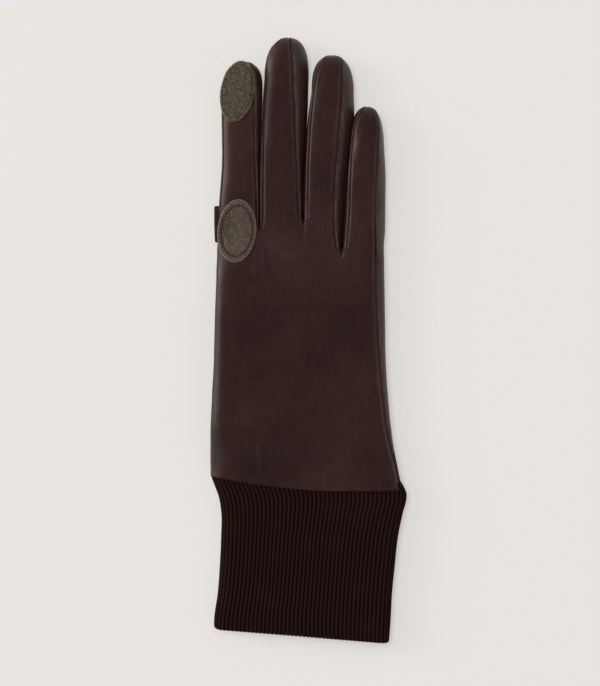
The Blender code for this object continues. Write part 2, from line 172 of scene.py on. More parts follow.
def grain_group():
    """Nappa: cloudy dye, pebbled grain, fine pores, edges paled by wear and a painted highlight, painted seam
    shade.
    """
    group, start, end = new_group(
        "nappa_grain",
        [
            *colour_sockets((("Dark", LEATHER_DARK), ("Warm", LEATHER_WARM), ("Edge", LEATHER_EDGE_WEAR_AND_HIGHLIGHT))),
            ("Wear", "NodeSocketFloat", 0.5),
            ("Vector", "NodeSocketVector", None),
        ],
        [("Color", "NodeSocketColor"), ("Roughness", "NodeSocketFloat"), ("Height", "NodeSocketFloat")],
    )
    links = group.links
    place = start.outputs["Vector"]
    clouds = noise_node(group, place, CLOUD_SCALE, 4.0, 0.55)
    streaks = node(group, "ShaderNodeMapping")
    streaks.inputs["Scale"].default_value = (1.0, FIBRE_STRETCH, 1.0)
    links.new(place, streaks.inputs["Vector"])
    fibres = noise_node(group, streaks.outputs["Vector"], FIBRE_SCALE, 3.0, 0.6)
    dye = maths(group, "ADD", ramp(group, clouds, 0.35, 0.68), ramp(group, fibres, 0.35, 0.7, -0.3, 0.3))
    base = mixed(group, clamped(group, dye), start.outputs["Dark"], start.outputs["Warm"])
    # The turned-edge mark: above 0 it pales the leather, partly wear and partly a painted highlight; below 0
    # it is painted shade deep in the seams.
    edges = node(group, "ShaderNodeAttribute", attribute_name="turned_edge")
    bright = maths(group, "MAXIMUM", edges.outputs["Fac"], 0.0)
    rubbed_and_lit_edge = maths(group, "MULTIPLY", bright, ramp(group, fibres, 0.3, 0.6))
    worn_and_lit_edge = maths(group, "MULTIPLY", rubbed_and_lit_edge, start.outputs["Wear"])
    # Painted shade: the colour is darkened deep in the seams.
    painted_seam_shade = maths(group, "MULTIPLY", edges.outputs["Fac"], -0.85)
    colour = mixed(group, worn_and_lit_edge, base, start.outputs["Edge"])
    colour = mixed(group, maths(group, "MAXIMUM", painted_seam_shade, 0.0), colour, SEAM_SHADE_COLOUR)
    links.new(colour, end.inputs["Color"])
    cells = node(group, "ShaderNodeTexVoronoi", feature="DISTANCE_TO_EDGE")
    cells.inputs["Scale"].default_value = PEBBLE_SCALE
    links.new(place, cells.inputs["Vector"])
    pebbles = ramp(group, cells.outputs["Distance"], 0.0, 0.32)
    pores = noise_node(group, place, PORE_SCALE, 2.0, 0.6)
    height = maths(group, "MULTIPLY", pebbles, 0.7)
    height = maths(group, "ADD", height, maths(group, "MULTIPLY", pores, 0.45))
    links.new(height, end.inputs["Height"])
    uneven = maths(group, "ADD", clouds, maths(group, "MULTIPLY", pores, 0.3))
    links.new(ramp(group, uneven, 0.4, 0.95, 0.40, 0.54), end.inputs["Roughness"])
    return group


GRAIN = grain_group()


def finished(name, metallic=0.0, specular=0.5, sheen=0.0, sheen_roughness=0.4, sheen_tint=None):
    """A material with its shader's constants set, and its tree and shader to build on."""
    made = bpy.data.materials.new(name)
    made.use_nodes = True
    tree = made.node_tree
    shader = tree.nodes["Principled BSDF"]
    shader.inputs["Metallic"].default_value = metallic
    shader.inputs["Specular IOR Level"].default_value = specular
    shader.inputs["Sheen Weight"].default_value = sheen
    shader.inputs["Sheen Roughness"].default_value = sheen_roughness
    if sheen_tint:
        shader.inputs["Sheen Tint"].default_value = (*sheen_tint, 1.0)
    return made, tree, shader


def bumped(tree, shader, height, distance, strength=1.0):
    """Raises a height on the shader's surface, that far at most."""
    bump = tree.nodes.new("ShaderNodeBump")
    bump.inputs["Distance"].default_value = distance
    bump.inputs["Strength"].default_value = strength
    tree.links.new(height, bump.inputs["Height"])
    tree.links.new(bump.outputs["Normal"], shader.inputs["Normal"])


def nappa(name, dark=LEATHER_DARK, warm=LEATHER_WARM, edge=LEATHER_EDGE_WEAR_AND_HIGHLIGHT, wear=0.6, specular=0.07):
    """Leather in two dye colours, with its turned edges paled that much, by wear and a painted highlight."""
    made, tree, shader = finished(name, specular=specular)
    coordinates = tree.nodes.new("ShaderNodeTexCoord")
    grain = node(tree, "ShaderNodeGroup", node_tree=GRAIN)
    for socket, value in (("Dark", dark), ("Warm", warm), ("Edge", edge)):
        grain.inputs[socket].default_value = (*value, 1.0)
    grain.inputs["Wear"].default_value = wear
    tree.links.new(coordinates.outputs["Object"], grain.inputs["Vector"])
    tree.links.new(grain.outputs["Color"], shader.inputs["Base Color"])
    tree.links.new(grain.outputs["Roughness"], shader.inputs["Roughness"])
    polish = node(tree, "ShaderNodeAttribute", attribute_name="polish")
    tree.links.new(maths(tree, "MULTIPLY", polish.outputs["Fac"], POLISH), shader.inputs["Coat Weight"])
    shader.inputs["Coat Roughness"].default_value = POLISH_ROUGHNESS
    bumped(tree, shader, grain.outputs["Height"], GRAIN_DEPTH, 0.85)
    return made


BACK_LEATHER = nappa("back_nappa")
SIDE_LEATHER = nappa("side_nappa", dark=(0.0190, 0.0075, 0.0060), warm=(0.0330, 0.0135, 0.0100), wear=0.9)

# ---------------------------------------------------------------------------------------------------------
# The hand and the fingers: a back and a palm cut from the skin, with strips between the fingers, sewn inside
# out and turned. Each is laid out as rings of points round a flattened tube. Below the crotches the fingers'
# tubes run together into the hand, and each crotch is a rounded U where two strips meet.
# ---------------------------------------------------------------------------------------------------------
HAND_THICK = 13.0
FINGER_THICK = 13.6
PUFF = 2.7
LEFT_WALL_PUFF, RIGHT_WALL_PUFF = 2.3, 1.6
SIDE_REACH = 12.5
BACK_SHARE = 0.6
DOME = 2.45
HEM_LOW = -71.0
HEM_RISE = 7.0
HEM_FROM = -30.0
THUMB_LIFT = 9.7
OPENING = 3.2
INDEX_CUTS = (67.0, 67.6, 79.0, 84.7, 90.4)
HAND_ENDS = {"index": 67.0, "middle": 56.4, "ring": 56.4, "little": 42.2}
CROTCHES = {1: (-22.9, 53.6), 2: (-2.2, 56.4), 3: (15.5, 42.2)}
PALM_LEFT, PALM_RIGHT = 208.0, -28.0
LEFT_EDGE, RIGHT_EDGE = (137.0, 215.0), (0.0, -35.0)
SEAM_REACH = 0.97


def eased(value):
    """A value held between 0 and 1, with a gentle start and end."""
    value = min(max(value, 0.0), 1.0)
    return value * value * (3.0 - 2.0 * value)


class Line:
    """A smooth line through (y, value) rows."""

    def __init__(self, rows):
        self.rows = rows
        values = [row[1] for row in rows]
        ys = [row[0] for row in rows]
        self.slopes = [float(slope) for slope in np.gradient(values, ys)]

    def at(self, y):
        rows, slopes = self.rows, self.slopes
        y = min(max(y, rows[0][0]), rows[-1][0])
        spot = 0
        while spot < len(rows) - 2 and y >= rows[spot + 1][0]:
            spot += 1
        (low_y, low), (high_y, high) = rows[spot], rows[spot + 1]
        span = high_y - low_y
        t = (y - low_y) / span
        start = (2 * t**3 - 3 * t**2 + 1) * low + (t**3 - 2 * t**2 + t) * span * slopes[spot]
        return start + (3 * t**2 - 2 * t**3) * high + (t**3 - t**2) * span * slopes[spot + 1]


HAND_LEFT = Line(
    ((-71.0, -46.5), (-51.9, -46.4), (-37.6, -46.0), (-18.6, -45.3), (19.4, -43.8), (41.6, -43.4),
     (64.0, -42.3))
)
HAND_RIGHT = Line(
    ((-71.0, 44.6), (-51.9, 40.9), (-37.6, 39.0), (-18.6, 37.3), (19.4, 36.1), (41.6, 35.9), (64.0, 36.4))
)


class Finger:
    """One finger's outline: its edges, its tip, the seams on its back, its crotches, and the floor, which
    is how far above the table it lies."""

    def __init__(self, name, left, right, tip, seam_left, seam_right, crotch_left, crotch_right, floor=0.0):
        self.name = name
        self.left, self.right, self.tip = Line(left), Line(right), tip
        self.seam_left, self.seam_right = Line(seam_left), Line(seam_right)
        self.crotch_left, self.crotch_right = crotch_left, crotch_right
        self.floor = floor
        self.shoulder = left[-1][0]
        inner = [CROTCHES[number][1] for number in (crotch_left, crotch_right) if number]
        self.root = sum(inner) / len(inner)

    def section(self, y, inset=0.0):
        """The centre, half width, middle height and half height of the tube at y."""
        left, right = self.left.at(y), self.right.at(y)
        half, tall = (right - left) / 2 - inset, FINGER_THICK / 2 - inset
        centre = (left + right) / 2
        if y > self.shoulder:
            share = min((y - self.shoulder) / (self.tip[1] - inset - self.shoulder), 1.0)
            closing = (1.0 - share**DOME) ** (1.0 / DOME)
            half, tall = half * closing, tall * closing**0.9
            centre += (self.tip[0] - centre) * share**2
        floor = self.floor * eased((y - 50.0) / 14.0)
        return centre, half, floor + FINGER_THICK / 2, tall


FINGERS = [
    Finger(
        "index",
        left=((38.0, -43.4), (63.0, -42.3), (84.7, -41.0), (114.0, -40.9), (118.0, -40.8)),
        right=((38.0, -23.2), (56.0, -23.5), (84.7, -23.3), (100.0, -22.7), (118.0, -22.0)),
        tip=(-30.4, 132.2),
        seam_left=((53.0, -42.6), (63.0, -42.3), (84.7, -41.0), (114.0, -40.9), (132.0, -40.0)),
        seam_right=((53.6, -24.6), (65.0, -24.7), (85.0, -25.6), (110.0, -26.0), (132.0, -27.0)),
        crotch_left=None,
        crotch_right=1,
        floor=1.2,
    ),
    Finger(
        "middle",
        left=((38.0, -23.0), (56.4, -23.4), (72.0, -23.3), (88.0, -22.9), (100.0, -22.3), (110.0, -22.0),
              (124.0, -20.8)),
        right=((38.0, -3.4), (56.4, -2.9), (75.0, -2.4), (95.0, -1.5), (112.0, -0.5), (124.0, -0.3)),
        tip=(-9.6, 143.8),
        seam_left=((53.6, -22.0), (80.0, -21.8), (94.0, -21.8), (106.0, -23.0), (134.0, -23.0),
                   (143.8, -12.0)),
        seam_right=((56.4, -4.5), (71.6, -5.4), (90.6, -6.4), (109.6, -7.3), (133.4, -8.3), (143.8, -8.7)),
        crotch_left=1,
        crotch_right=2,
    ),
    Finger(
        "ring",
        left=((38.0, -3.2), (56.4, -2.7), (75.0, -2.2), (95.0, -1.3), (107.0, -0.2), (118.0, 1.4)),
        right=((38.0, 15.4), (56.4, 16.75), (75.0, 18.05), (95.0, 20.3), (107.0, 21.4), (118.0, 21.2)),
        tip=(11.2, 135.4),
        seam_left=((56.4, -0.5), (66.9, -0.3), (85.9, -0.1), (104.9, 0.9), (119.1, 2.5), (128.6, 4.8),
                   (135.4, 8.8)),
        seam_right=((42.2, 13.3), (50.2, 12.0), (59.7, 11.6), (71.6, 11.7), (95.4, 13.6), (114.4, 15.0),
                    (133.4, 15.6)),
        crotch_left=2,
        crotch_right=3,
    ),
    Finger(
        "little",
        left=((38.0, 15.6), (56.4, 16.7), (75.0, 18.0), (94.0, 20.35)),
        right=((38.0, 35.9), (62.0, 36.2), (76.4, 36.2), (94.0, 35.6)),
        tip=(27.6, 111.0),
        seam_left=((42.2, 17.6), (55.0, 18.9), (66.9, 19.4), (85.9, 20.2), (97.7, 21.2), (105.8, 24.0),
                   (111.0, 26.4)),
        seam_right=((-71.0, 44.3), (-56.6, 41.0), (-47.1, 38.4), (-28.1, 35.4), (-4.4, 33.1), (19.4, 31.9),
                    (38.4, 31.6), (62.1, 31.4), (90.6, 32.6), (102.5, 33.0), (111.0, 31.5)),
        crotch_left=3,
        crotch_right=None,
    ),
]


def thumb_lift(x, y, z=0.0):
    """How far the folded-in thumb raises the hand at (x, y): its palm all the way, its back less."""
    across = 1.0 - eased((x + 6.0) / 34.0)
    lift = THUMB_LIFT * across * eased((y + 64.0) / 24.0) * (1.0 - eased((y - 28.0) / 30.0))
    return lift * (1.0 + (BACK_SHARE - 1.0) * min(max(z / HAND_THICK, 0.0), 1.0))


def hem_line(x):
    """The height y of the leather's slanting hem over x."""
    return HEM_LOW + HEM_RISE * max((10.0 - x) / 56.0, 0.0) ** 1.6


def crotch_line(number, y):
    """The x at which a crotch's line runs down the hand."""
    x, top = CROTCHES[number]
    left, right = HAND_LEFT.at(top), HAND_RIGHT.at(top)
    share = (x - left) / (right - left)
    return HAND_LEFT.at(y) + share * (HAND_RIGHT.at(y) - HAND_LEFT.at(y))


def opened(y, number, reach=OPENING):
    """How far a crotch has opened at y, from 0 to 1, in the shape of a rounded U."""
    if number is None:
        return 1.0
    t = min(max((y - CROTCHES[number][1]) / reach, 0.0), 1.0)
    return math.sqrt(1.0 - (1.0 - t) ** 2)


def fingerness(y, number, root):
    """0 where the section is the hand's and 1 where it is a finger's."""
    top = CROTCHES[number][1] if number else root
    return eased((y - top + 6.0) / 17.0)


def flat_height(x, y, side, inset=0.0):
    """The height of the hand's back or palm at (x, y), without the thumb's lift."""
    left, right = HAND_LEFT.at(y) + inset, HAND_RIGHT.at(y) - inset
    into = min(max(left + SIDE_REACH - x, x - right + SIDE_REACH, 0.0) / SIDE_REACH, 1.0)
    return HAND_THICK / 2 + side * (HAND_THICK / 2 - inset) * math.sqrt(1.0 - into**2)


def round_side(y, degrees, left_side, inset):
    """A point on the half-round edge of the hand, on its thumb's side or on the other."""
    angle = math.radians(degrees)
    centre = HAND_LEFT.at(y) + inset + SIDE_REACH if left_side else HAND_RIGHT.at(y) - inset - SIDE_REACH
    rise = (HAND_THICK / 2 - inset) * math.sin(angle)
    return centre + SIDE_REACH * math.cos(angle), HAND_THICK / 2 + rise


def tube_point(centre, half, middle, tall, degrees, puff=PUFF):
    """A point round a flattened tube, which is boxier the greater its puff."""
    angle = math.radians(degrees)
    x = centre + half * math.copysign(abs(math.cos(angle)) ** (2 / puff), math.cos(angle))
    return x, middle + tall * math.copysign(abs(math.sin(angle)) ** (2 / puff), math.sin(angle))


def tube_angle(centre, half, x, puff=PUFF):
    """The angle on the upper half of a tube whose point is over x."""
    across = min(max((x - centre) / max(half, 1e-6), -1.0), 1.0)
    cosine = math.copysign(abs(across) ** (puff / 2), across)
    return math.degrees(math.atan2(math.sqrt(max(1.0 - cosine**2, 0.0)), cosine))


def seam_places(finger, y, inset=0.0):
    """For a finger at y: x of the right and left seams, for its back and then its palm."""
    centre, half, middle, tall = finger.section(y, inset)
    found = []
    for seam, number, palm_angle in (
        (finger.seam_right, finger.crotch_right, PALM_RIGHT),
        (finger.seam_left, finger.crotch_left, PALM_LEFT),
    ):
        low, high = centre - SEAM_REACH * half, centre + SEAM_REACH * half
        back = min(max(seam.at(y), low), high)
        palm = tube_point(centre, half, middle, tall, palm_angle)[0]
        if number and y < CROTCHES[number][1] + OPENING:
            line = crotch_line(number, min(y, CROTCHES[number][1]))
            share = opened(y, number)
            back, palm = line + (back - line) * share, line + (palm - line) * share
        elif number is None:
            finger_share = fingerness(y, None, finger.root)
            left_side = seam is finger.seam_left
            if left_side:
                edge_back = round_side(y, LEFT_EDGE[0], True, inset)[0]
            else:
                edge_back = min(seam.at(y), HAND_RIGHT.at(y) - inset - 0.6)
            edge = LEFT_EDGE if left_side else RIGHT_EDGE
            edge_palm = round_side(y, edge[1], left_side, inset)[0]
            back = edge_back + (back - edge_back) * finger_share
            palm = edge_palm + (palm - edge_palm) * finger_share
        found.append((back, palm))
    return found


def face_point(finger, y, share, side, inset=0.0):
    """A point on a finger's back (side 1) or palm (side -1), from share 0 at its right to 1 at its left."""
    centre, half, middle, tall = finger.section(y, inset)
    right, left = (places[0 if side > 0 else 1] for places in seam_places(finger, y, inset))
    x = right + (left - right) * share
    across = min(abs(x - centre) / max(half, 1e-6), 1.0)
    bulge = tall * (1.0 - across**PUFF) ** (1.0 / PUFF)
    finger_z = middle + side * bulge
    weight_right = fingerness(y, finger.crotch_right, finger.root)
    weight_left = fingerness(y, finger.crotch_left, finger.root)
    weight = weight_right + (weight_left - weight_right) * share
    hand_z = flat_height(x, y, side, inset) if weight < 1.0 else finger_z
    return x, hand_z + (finger_z - hand_z) * weight


def side_point(finger, y, share, left_side, inset=0.0):
    """A point on a finger's side wall, from share 0 at its back seam to 1 at its palm seam."""
    centre, half, middle, tall = finger.section(y, inset)
    number = finger.crotch_left if left_side else finger.crotch_right
    end = 1.0 if left_side else 0.0
    top, bottom = face_point(finger, y, end, 1, inset), face_point(finger, y, end, -1, inset)
    puff = LEFT_WALL_PUFF if left_side else RIGHT_WALL_PUFF
    start = tube_angle(centre, half, top[0], puff)
    palm_angle = PALM_LEFT if left_side else PALM_RIGHT
    degrees = start + (palm_angle - start) * share
    on_tube = tube_point(centre, half, middle, tall, degrees, puff)
    ends = [tube_point(centre, half, middle, tall, a, puff) for a in (start, palm_angle)]
    fixed = [
        on_tube[i] + (top[i] - ends[0][i]) * (1.0 - share) + (bottom[i] - ends[1][i]) * share
        for i in (0, 1)
    ]
    if number is None:
        low, high = LEFT_EDGE if left_side else RIGHT_EDGE
        if not left_side:
            reach = top[0] - (HAND_RIGHT.at(y) - inset - SIDE_REACH)
            low = math.degrees(math.acos(min(max(reach / SIDE_REACH, 0.0), 1.0)))
        on_hand = round_side(y, low + (high - low) * share, left_side, inset)
        weight = fingerness(y, None, finger.root)
        return tuple(h + (f - h) * weight for h, f in zip(on_hand, fixed))
    line = [top[i] + (bottom[i] - top[i]) * share for i in (0, 1)]
    weight = opened(y, number, OPENING * 1.6)
    return tuple(flat + (puffed - flat) * weight for flat, puffed in zip(line, fixed))


def hem_shifted(x, y):
    """Rows below HEM_FROM are drawn in to end on the slanting hem."""
    if y >= HEM_FROM:
        return y
    share = (HEM_FROM - y) / (HEM_FROM - HEM_LOW)
    return HEM_FROM + (hem_line(x) - HEM_FROM) * share


ROOTS_LOW, ROOTS_HIGH = 30.0, 66.0
HAND_SPACING, ROOT_SPACING, FINGER_SPACING = 2.6, 1.1, 2.2
CROTCH_ROWS = (-0.8, -0.3, 0.0, 0.12, 0.4, 0.8, 1.3, 2.0, 2.9)
DOME_ROWS = 15


def spaced(low, high, step):
    """Numbers from low to high, about that far apart."""
    return list(np.linspace(low, high, max(int(round((high - low) / step)), 1) + 1))


def finger_rows(finger):
    """The heights of the rings of points, close together at the crotches and round the tip."""
    rows = spaced(HEM_LOW, ROOTS_LOW, HAND_SPACING) + spaced(ROOTS_LOW, ROOTS_HIGH, ROOT_SPACING)
    rows += spaced(ROOTS_HIGH, finger.shoulder, FINGER_SPACING)
    for _, top in CROTCHES.values():
        rows += [top + step for step in CROTCH_ROWS]
    rows += [*HAND_ENDS.values(), *INDEX_CUTS]
    rows = sorted(row for row in set(np.round(rows, 3)) if row < finger.shoulder - 0.01)
    kept = [rows[0]]
    anchors = {*(top for _, top in CROTCHES.values()), *HAND_ENDS.values(), *INDEX_CUTS}
    for row in rows[1:]:
        if row in anchors and row - kept[-1] <= 0.1:
            kept[-1] = row
        elif row - kept[-1] > 0.1:
            kept.append(row)
    climb = finger.tip[1] - finger.shoulder
    dome = [finger.shoulder + climb * math.sin(t * math.pi / 2) for t in np.linspace(0, 1, DOME_ROWS)]
    return kept + dome[:-1] + [finger.tip[1] - 0.004]


SEAM_STEPS = (0.0, 0.22, 0.45, 0.75, 1.2, 2.0)


def column_shares(width, count, steps):
    """Shares across a panel of that width: close together beside its seams and even between them."""
    near = [step / width for step in steps]
    if near[-1] > 0.35:
        near = [share * 0.35 / near[-1] for share in near]
    middle = list(np.linspace(near[-1], 1.0 - near[-1], count))
    return near[:-1] + middle + [1.0 - share for share in reversed(near[:-1])]


PANELS = (("back", 11, 17.0), ("left", 6, 9.0), ("palm", 9, 16.0), ("right", 6, 9.0))


def ring_of(finger, y, inset, panels, steps):
    """The points round a finger at y: (panel, share across it, its width, x, z) each."""
    points = []
    for panel, count, width in panels:
        shares = column_shares(width, count, steps)
        for share in shares[:-1]:
            if panel == "back":
                x, z = face_point(finger, y, share, 1, inset)
            elif panel == "palm":
                x, z = face_point(finger, y, 1.0 - share, -1, inset)
            elif panel == "left":
                x, z = side_point(finger, y, share, True, inset)
            else:
                x, z = side_point(finger, y, 1.0 - share, False, inset)
            points.append((panel, share, width, x, z))
    return points


def real_seam(finger, left_side, y):
    """How much of a seam there is at y beside a wall: 0 where the leather runs on unbroken."""
    number = finger.crotch_left if left_side else finger.crotch_right
    if number:
        return eased((y - CROTCHES[number][1] + 1.2) / 1.8)
    return eased((y - 50.0) / 4.0) if left_side else 1.0


GROOVE = Line(
    ((0.0, -1.05), (0.22, -0.8), (0.45, -0.22), (0.75, 0.16), (1.2, 0.26), (2.0, 0.12), (3.4, 0.0))
)
# A seam's colour mark: a paler band on the turned edge, TURN_AT out and TURN_WIDE wide, partly wear and
# partly a painted highlight, and a painted shade SHADE_WIDE wide deep in the seam.
TURN_AT, TURN_WIDE = 0.85, 0.5
SHADE_WIDE = 0.36


def groove_depth(finger, panel, share, width, y):
    """How far the leather turns in at its seams, and swells beside them, at one point of a ring."""
    depth, turned, shade = 0.0, 0.0, 0.0
    for left_side in (True, False):
        nearer = {"back": share, "left": 0.0, "palm": 1.0 - share, "right": 1.0}[panel]
        if panel in ("left", "right"):
            if left_side != (panel == "left"):
                continue
            distance = min(share, 1.0 - share) * width
        else:
            distance = (1.0 - nearer if left_side else nearer) * width
        there = real_seam(finger, left_side, y)
        depth += GROOVE.at(distance) * there
        # turned is the paler band, partly wear and partly a painted highlight; shade is painted shade deep in
        # the seam, taken off it below.
        turned = max(turned, there * max(1.0 - abs(distance - TURN_AT) / TURN_WIDE, 0.0))
        shade = max(shade, there * math.exp(-((distance / SHADE_WIDE) ** 2)))
    return depth, turned - shade


# Each crease: its start and its end, its width, and its height, which is less than 0 for a fold that sinks.
CREASES = (
    ((-22.8, 52.0), (-4.0, 37.0), 1.8, -0.32),
    ((-22.0, 50.0), (-9.0, 36.0), 1.3, 0.26),
    ((-22.3, 49.0), (-15.0, 30.0), 1.1, -0.26),
    ((-21.5, 46.0), (-12.0, 29.0), 0.9, 0.18),
    ((-23.4, 50.0), (-22.4, 27.0), 1.0, -0.24),
    ((-24.6, 48.0), (-24.8, 26.0), 0.9, 0.16),
    ((-20.2, 44.0), (-18.6, 24.0), 0.8, -0.16),
    ((-22.0, 53.0), (-6.0, 49.0), 1.4, -0.2),
    ((-2.2, 55.0), (-3.0, 42.0), 1.0, -0.2),
    ((-1.0, 54.0), (-0.2, 45.0), 0.8, 0.1),
    ((15.5, 41.5), (12.6, 35.5), 0.8, -0.34),
    ((15.5, 41.5), (17.4, 31.0), 0.9, -0.28),
    ((15.2, 40.0), (15.0, 33.5), 0.7, 0.2),
    ((16.4, 40.6), (21.0, 36.0), 0.9, 0.12),
    ((25.0, -30.0), (20.0, -64.0), 5.0, 0.5),
    ((12.0, -36.0), (8.0, -66.0), 6.0, -0.35),
    ((33.0, -34.0), (36.0, -64.0), 4.0, -0.3),
    ((-40.0, -62.0), (-41.5, 20.0), 3.0, 0.12),
    ((-25.0, -48.0), (-24.0, -66.0), 0.7, -0.16),
    ((-22.4, -46.0), (-21.5, -66.0), 0.7, 0.16),
    ((-19.8, -50.0), (-19.0, -67.0), 0.7, -0.15),
    ((-17.0, -52.0), (-16.6, -67.0), 0.7, 0.12),
    ((-2.0, -62.0), (-2.4, -69.0), 0.5, -0.2),
    ((18.0, -64.0), (17.6, -70.0), 0.5, -0.16),
    ((-37.0, 44.0), (-30.0, 33.0), 1.0, -0.14),
    ((-34.0, 43.0), (-27.0, 30.0), 0.9, 0.12),
    ((-38.0, 98.0), (-27.0, 96.0), 0.8, -0.12),
    ((-37.0, 93.0), (-28.0, 92.0), 0.7, -0.08),
)
CREASE_DEPTH = 1.9
BROAD_RELIEF, SMALL_RELIEF = 0.34, 0.09


def crease_height(x, y):
    """The height of the soft folds that wear has set in the back."""
    total = 0.0
    for (x0, y0), (x1, y1), width, height in CREASES:
        along_x, along_y = x1 - x0, y1 - y0
        length = math.hypot(along_x, along_y)
        run = ((x - x0) * along_x + (y - y0) * along_y) / length
        if not -6.0 < run < length + 6.0:
            continue
        off = ((x - x0) * along_y - (y - y0) * along_x) / length
        if abs(off) > 3.0 * width:
            continue
        fade = eased((run + 3.0) / 6.0) * (1.0 - eased((run - length + 8.0) / 9.0))
        total += height * fade * math.exp(-((off / width) ** 2))
    return CREASE_DEPTH * total


def soft_relief(x, y, z):
    """The leather's own small unevenness."""
    broad = noise.noise(Vector((x / 17.0, y / 26.0, z / 14.0)))
    small = noise.noise(Vector((x / 4.5 + 7.0, y / 6.5, z / 5.0)))
    return BROAD_RELIEF * broad + SMALL_RELIEF * small


WELD = 0.06


class Skin:
    """The glove's leather, or its lining, as one welded mesh whose faces know their finger, panel and y."""

    def __init__(self, inset, panels, steps, rows_of, relief=True):
        self.points, self.faces, self.tags = [], [], []
        self.depths, self.turns, self.known = [], [], {}
        self.inset, self.panels, self.steps, self.relief = inset, panels, steps, relief
        for finger in FINGERS:
            self.add_finger(finger, rows_of(finger))
        self.press_seams()

    def add_point(self, point, depth, turned):
        key = tuple(round(c / WELD) for c in point)
        if key not in self.known:
            self.known[key] = len(self.points)
            self.points.append(point)
            self.depths.append(depth)
            self.turns.append(turned)
        return self.known[key]

    def add_ring(self, finger, y):
        ring = []
        for panel, share, width, x, z in ring_of(finger, y, self.inset, self.panels, self.steps):
            depth, turned = groove_depth(finger, panel, share, width, y)
            shifted = hem_shifted(x, y)
            ring.append(self.add_point((x, shifted, z + thumb_lift(x, shifted, z)), depth, turned))
        return ring

    def add_face(self, corners, tag):
        corners = [corner for at, corner in enumerate(corners) if corner != corners[at - 1]]
        if len(set(corners)) > 2 and len(set(corners)) == len(corners):
            self.faces.append(tuple(corners))
            self.tags.append(tag)

    def add_finger(self, finger, rows):
        rings = [self.add_ring(finger, y) for y in rows]
        names = [point[0] for point in ring_of(finger, rows[0], self.inset, self.panels, self.steps)]
        for low, high, y_low, y_high in zip(rings, rings[1:], rows, rows[1:]):
            for j, panel in enumerate(names):
                number = {"left": finger.crotch_left, "right": finger.crotch_right}.get(panel)
                if number and y_high <= CROTCHES[number][1] + 1e-6:
                    continue
                k = (j + 1) % len(names)
                self.add_face((low[k], low[j], high[j], high[k]), (finger.name, panel, y_low))
        middle = finger.section(rows[-1])[2]
        tip = self.add_point((finger.tip[0], finger.tip[1] - self.inset, middle), 0.0, 0.0)
        for j, panel in enumerate(names):
            k = (j + 1) % len(names)
            self.add_face((rings[-1][k], rings[-1][j], tip), (finger.name, panel, rows[-1]))

    def press_seams(self):
        """Moves each point along its normal by its groove, its crease and its unevenness."""
        normals = point_normals(self.points, self.faces)
        moved = []
        for point, normal, depth in zip(self.points, normals, self.depths):
            push = depth
            if self.relief:
                push += soft_relief(*point)
                push += crease_height(point[0], point[1]) * max(float(normal[2]), 0.0)
            moved.append(tuple(float(c + n * push) for c, n in zip(point, normal)))
        self.points = moved
        self.normals = point_normals(self.points, self.faces)


def point_normals(points, faces):
    """Each point's normal in that mesh."""
    mesh = bpy.data.meshes.new("measured")
    mesh.from_pydata(points, [], faces)
    mesh.update()
    found = np.zeros(len(points) * 3, np.float32)
    mesh.vertex_normals.foreach_get("vector", found)
    bpy.data.meshes.remove(mesh)
    return found.reshape(-1, 3)


def new_object(name, mesh):
    """An object with that mesh, put in the scene."""
    made = bpy.data.objects.new(name, mesh)
    bpy.context.scene.collection.objects.link(made)
    return made


POLISHED_TILT, POLISHED_SPAN = 0.985, 0.16


def cut_piece(name, skin, chosen, material, thickness):
    """A sheet of that thickness out of a skin: the chosen faces, their inner side and the cut edge."""
    faces = [face for face, tag in zip(skin.faces, skin.tags) if chosen(*tag)]
    used = sorted({corner for face in faces for corner in face})
    index = {corner: at for at, corner in enumerate(used)}
    count = len(used)
    outer = [Vector(skin.points[corner]) for corner in used]
    normals = [Vector(skin.normals[corner]) for corner in used]
    inner = [point - normal * thickness for point, normal in zip(outer, normals)]
    outside = [tuple(index[corner] for corner in face) for face in faces]
    inside = [tuple(corner + count for corner in reversed(face)) for face in outside]
    edges = {(face[at - 1], face[at]) for face in outside for at in range(len(face))}
    rim = [(b, a, a + count, b + count) for a, b in sorted(edges) if (b, a) not in edges]
    mesh = bpy.data.meshes.new(name)
    mesh.from_pydata([tuple(point * MM) for point in (*outer, *inner)], [], outside + inside + rim)
    mesh.materials.append(material)
    mesh.polygons.foreach_set("use_smooth", [True] * len(mesh.polygons))
    # Colour marks for the shader: paler turned edges, partly wear and partly a painted highlight, and below 0
    # painted shade deep in the seams.
    turned = mesh.attributes.new("turned_edge", "FLOAT", "POINT")
    turned.data.foreach_set("value", [skin.turns[corner] for corner in used] + [0.0] * count)
    polish = mesh.attributes.new("polish", "FLOAT", "POINT")
    tilts = [eased((POLISHED_TILT - n.z) / POLISHED_SPAN) if n.z > 0 else 0.0 for n in normals]
    polish.data.foreach_set("value", tilts + [0.0] * count)
    mesh.update()
    loops = [normals[corner] for face in outside for corner in face]
    loops += [-normals[corner - count] for face in inside for corner in face]
    for polygon in mesh.polygons[len(outside) + len(inside):]:
        loops += [polygon.normal.copy()] * 4
    mesh.normals_split_custom_set([tuple(normal) for normal in loops])
    return new_object(name, mesh)


LEATHER_THICKNESS = 0.8
WALLS = ("left", "right")
skin = Skin(0.0, PANELS, SEAM_STEPS, finger_rows)


def hand_piece(panels):
    """Chooses those panels of the hand, up to where the fingers' own pieces begin."""
    return lambda name, panel, y: panel in panels and y < HAND_ENDS[name] - 1e-6


def finger_piece(finger, panels, low, high=math.inf):
    """Chooses those panels of one finger, from low to high."""
    return lambda name, panel, y: name == finger and panel in panels and low - 1e-6 <= y < high - 1e-6


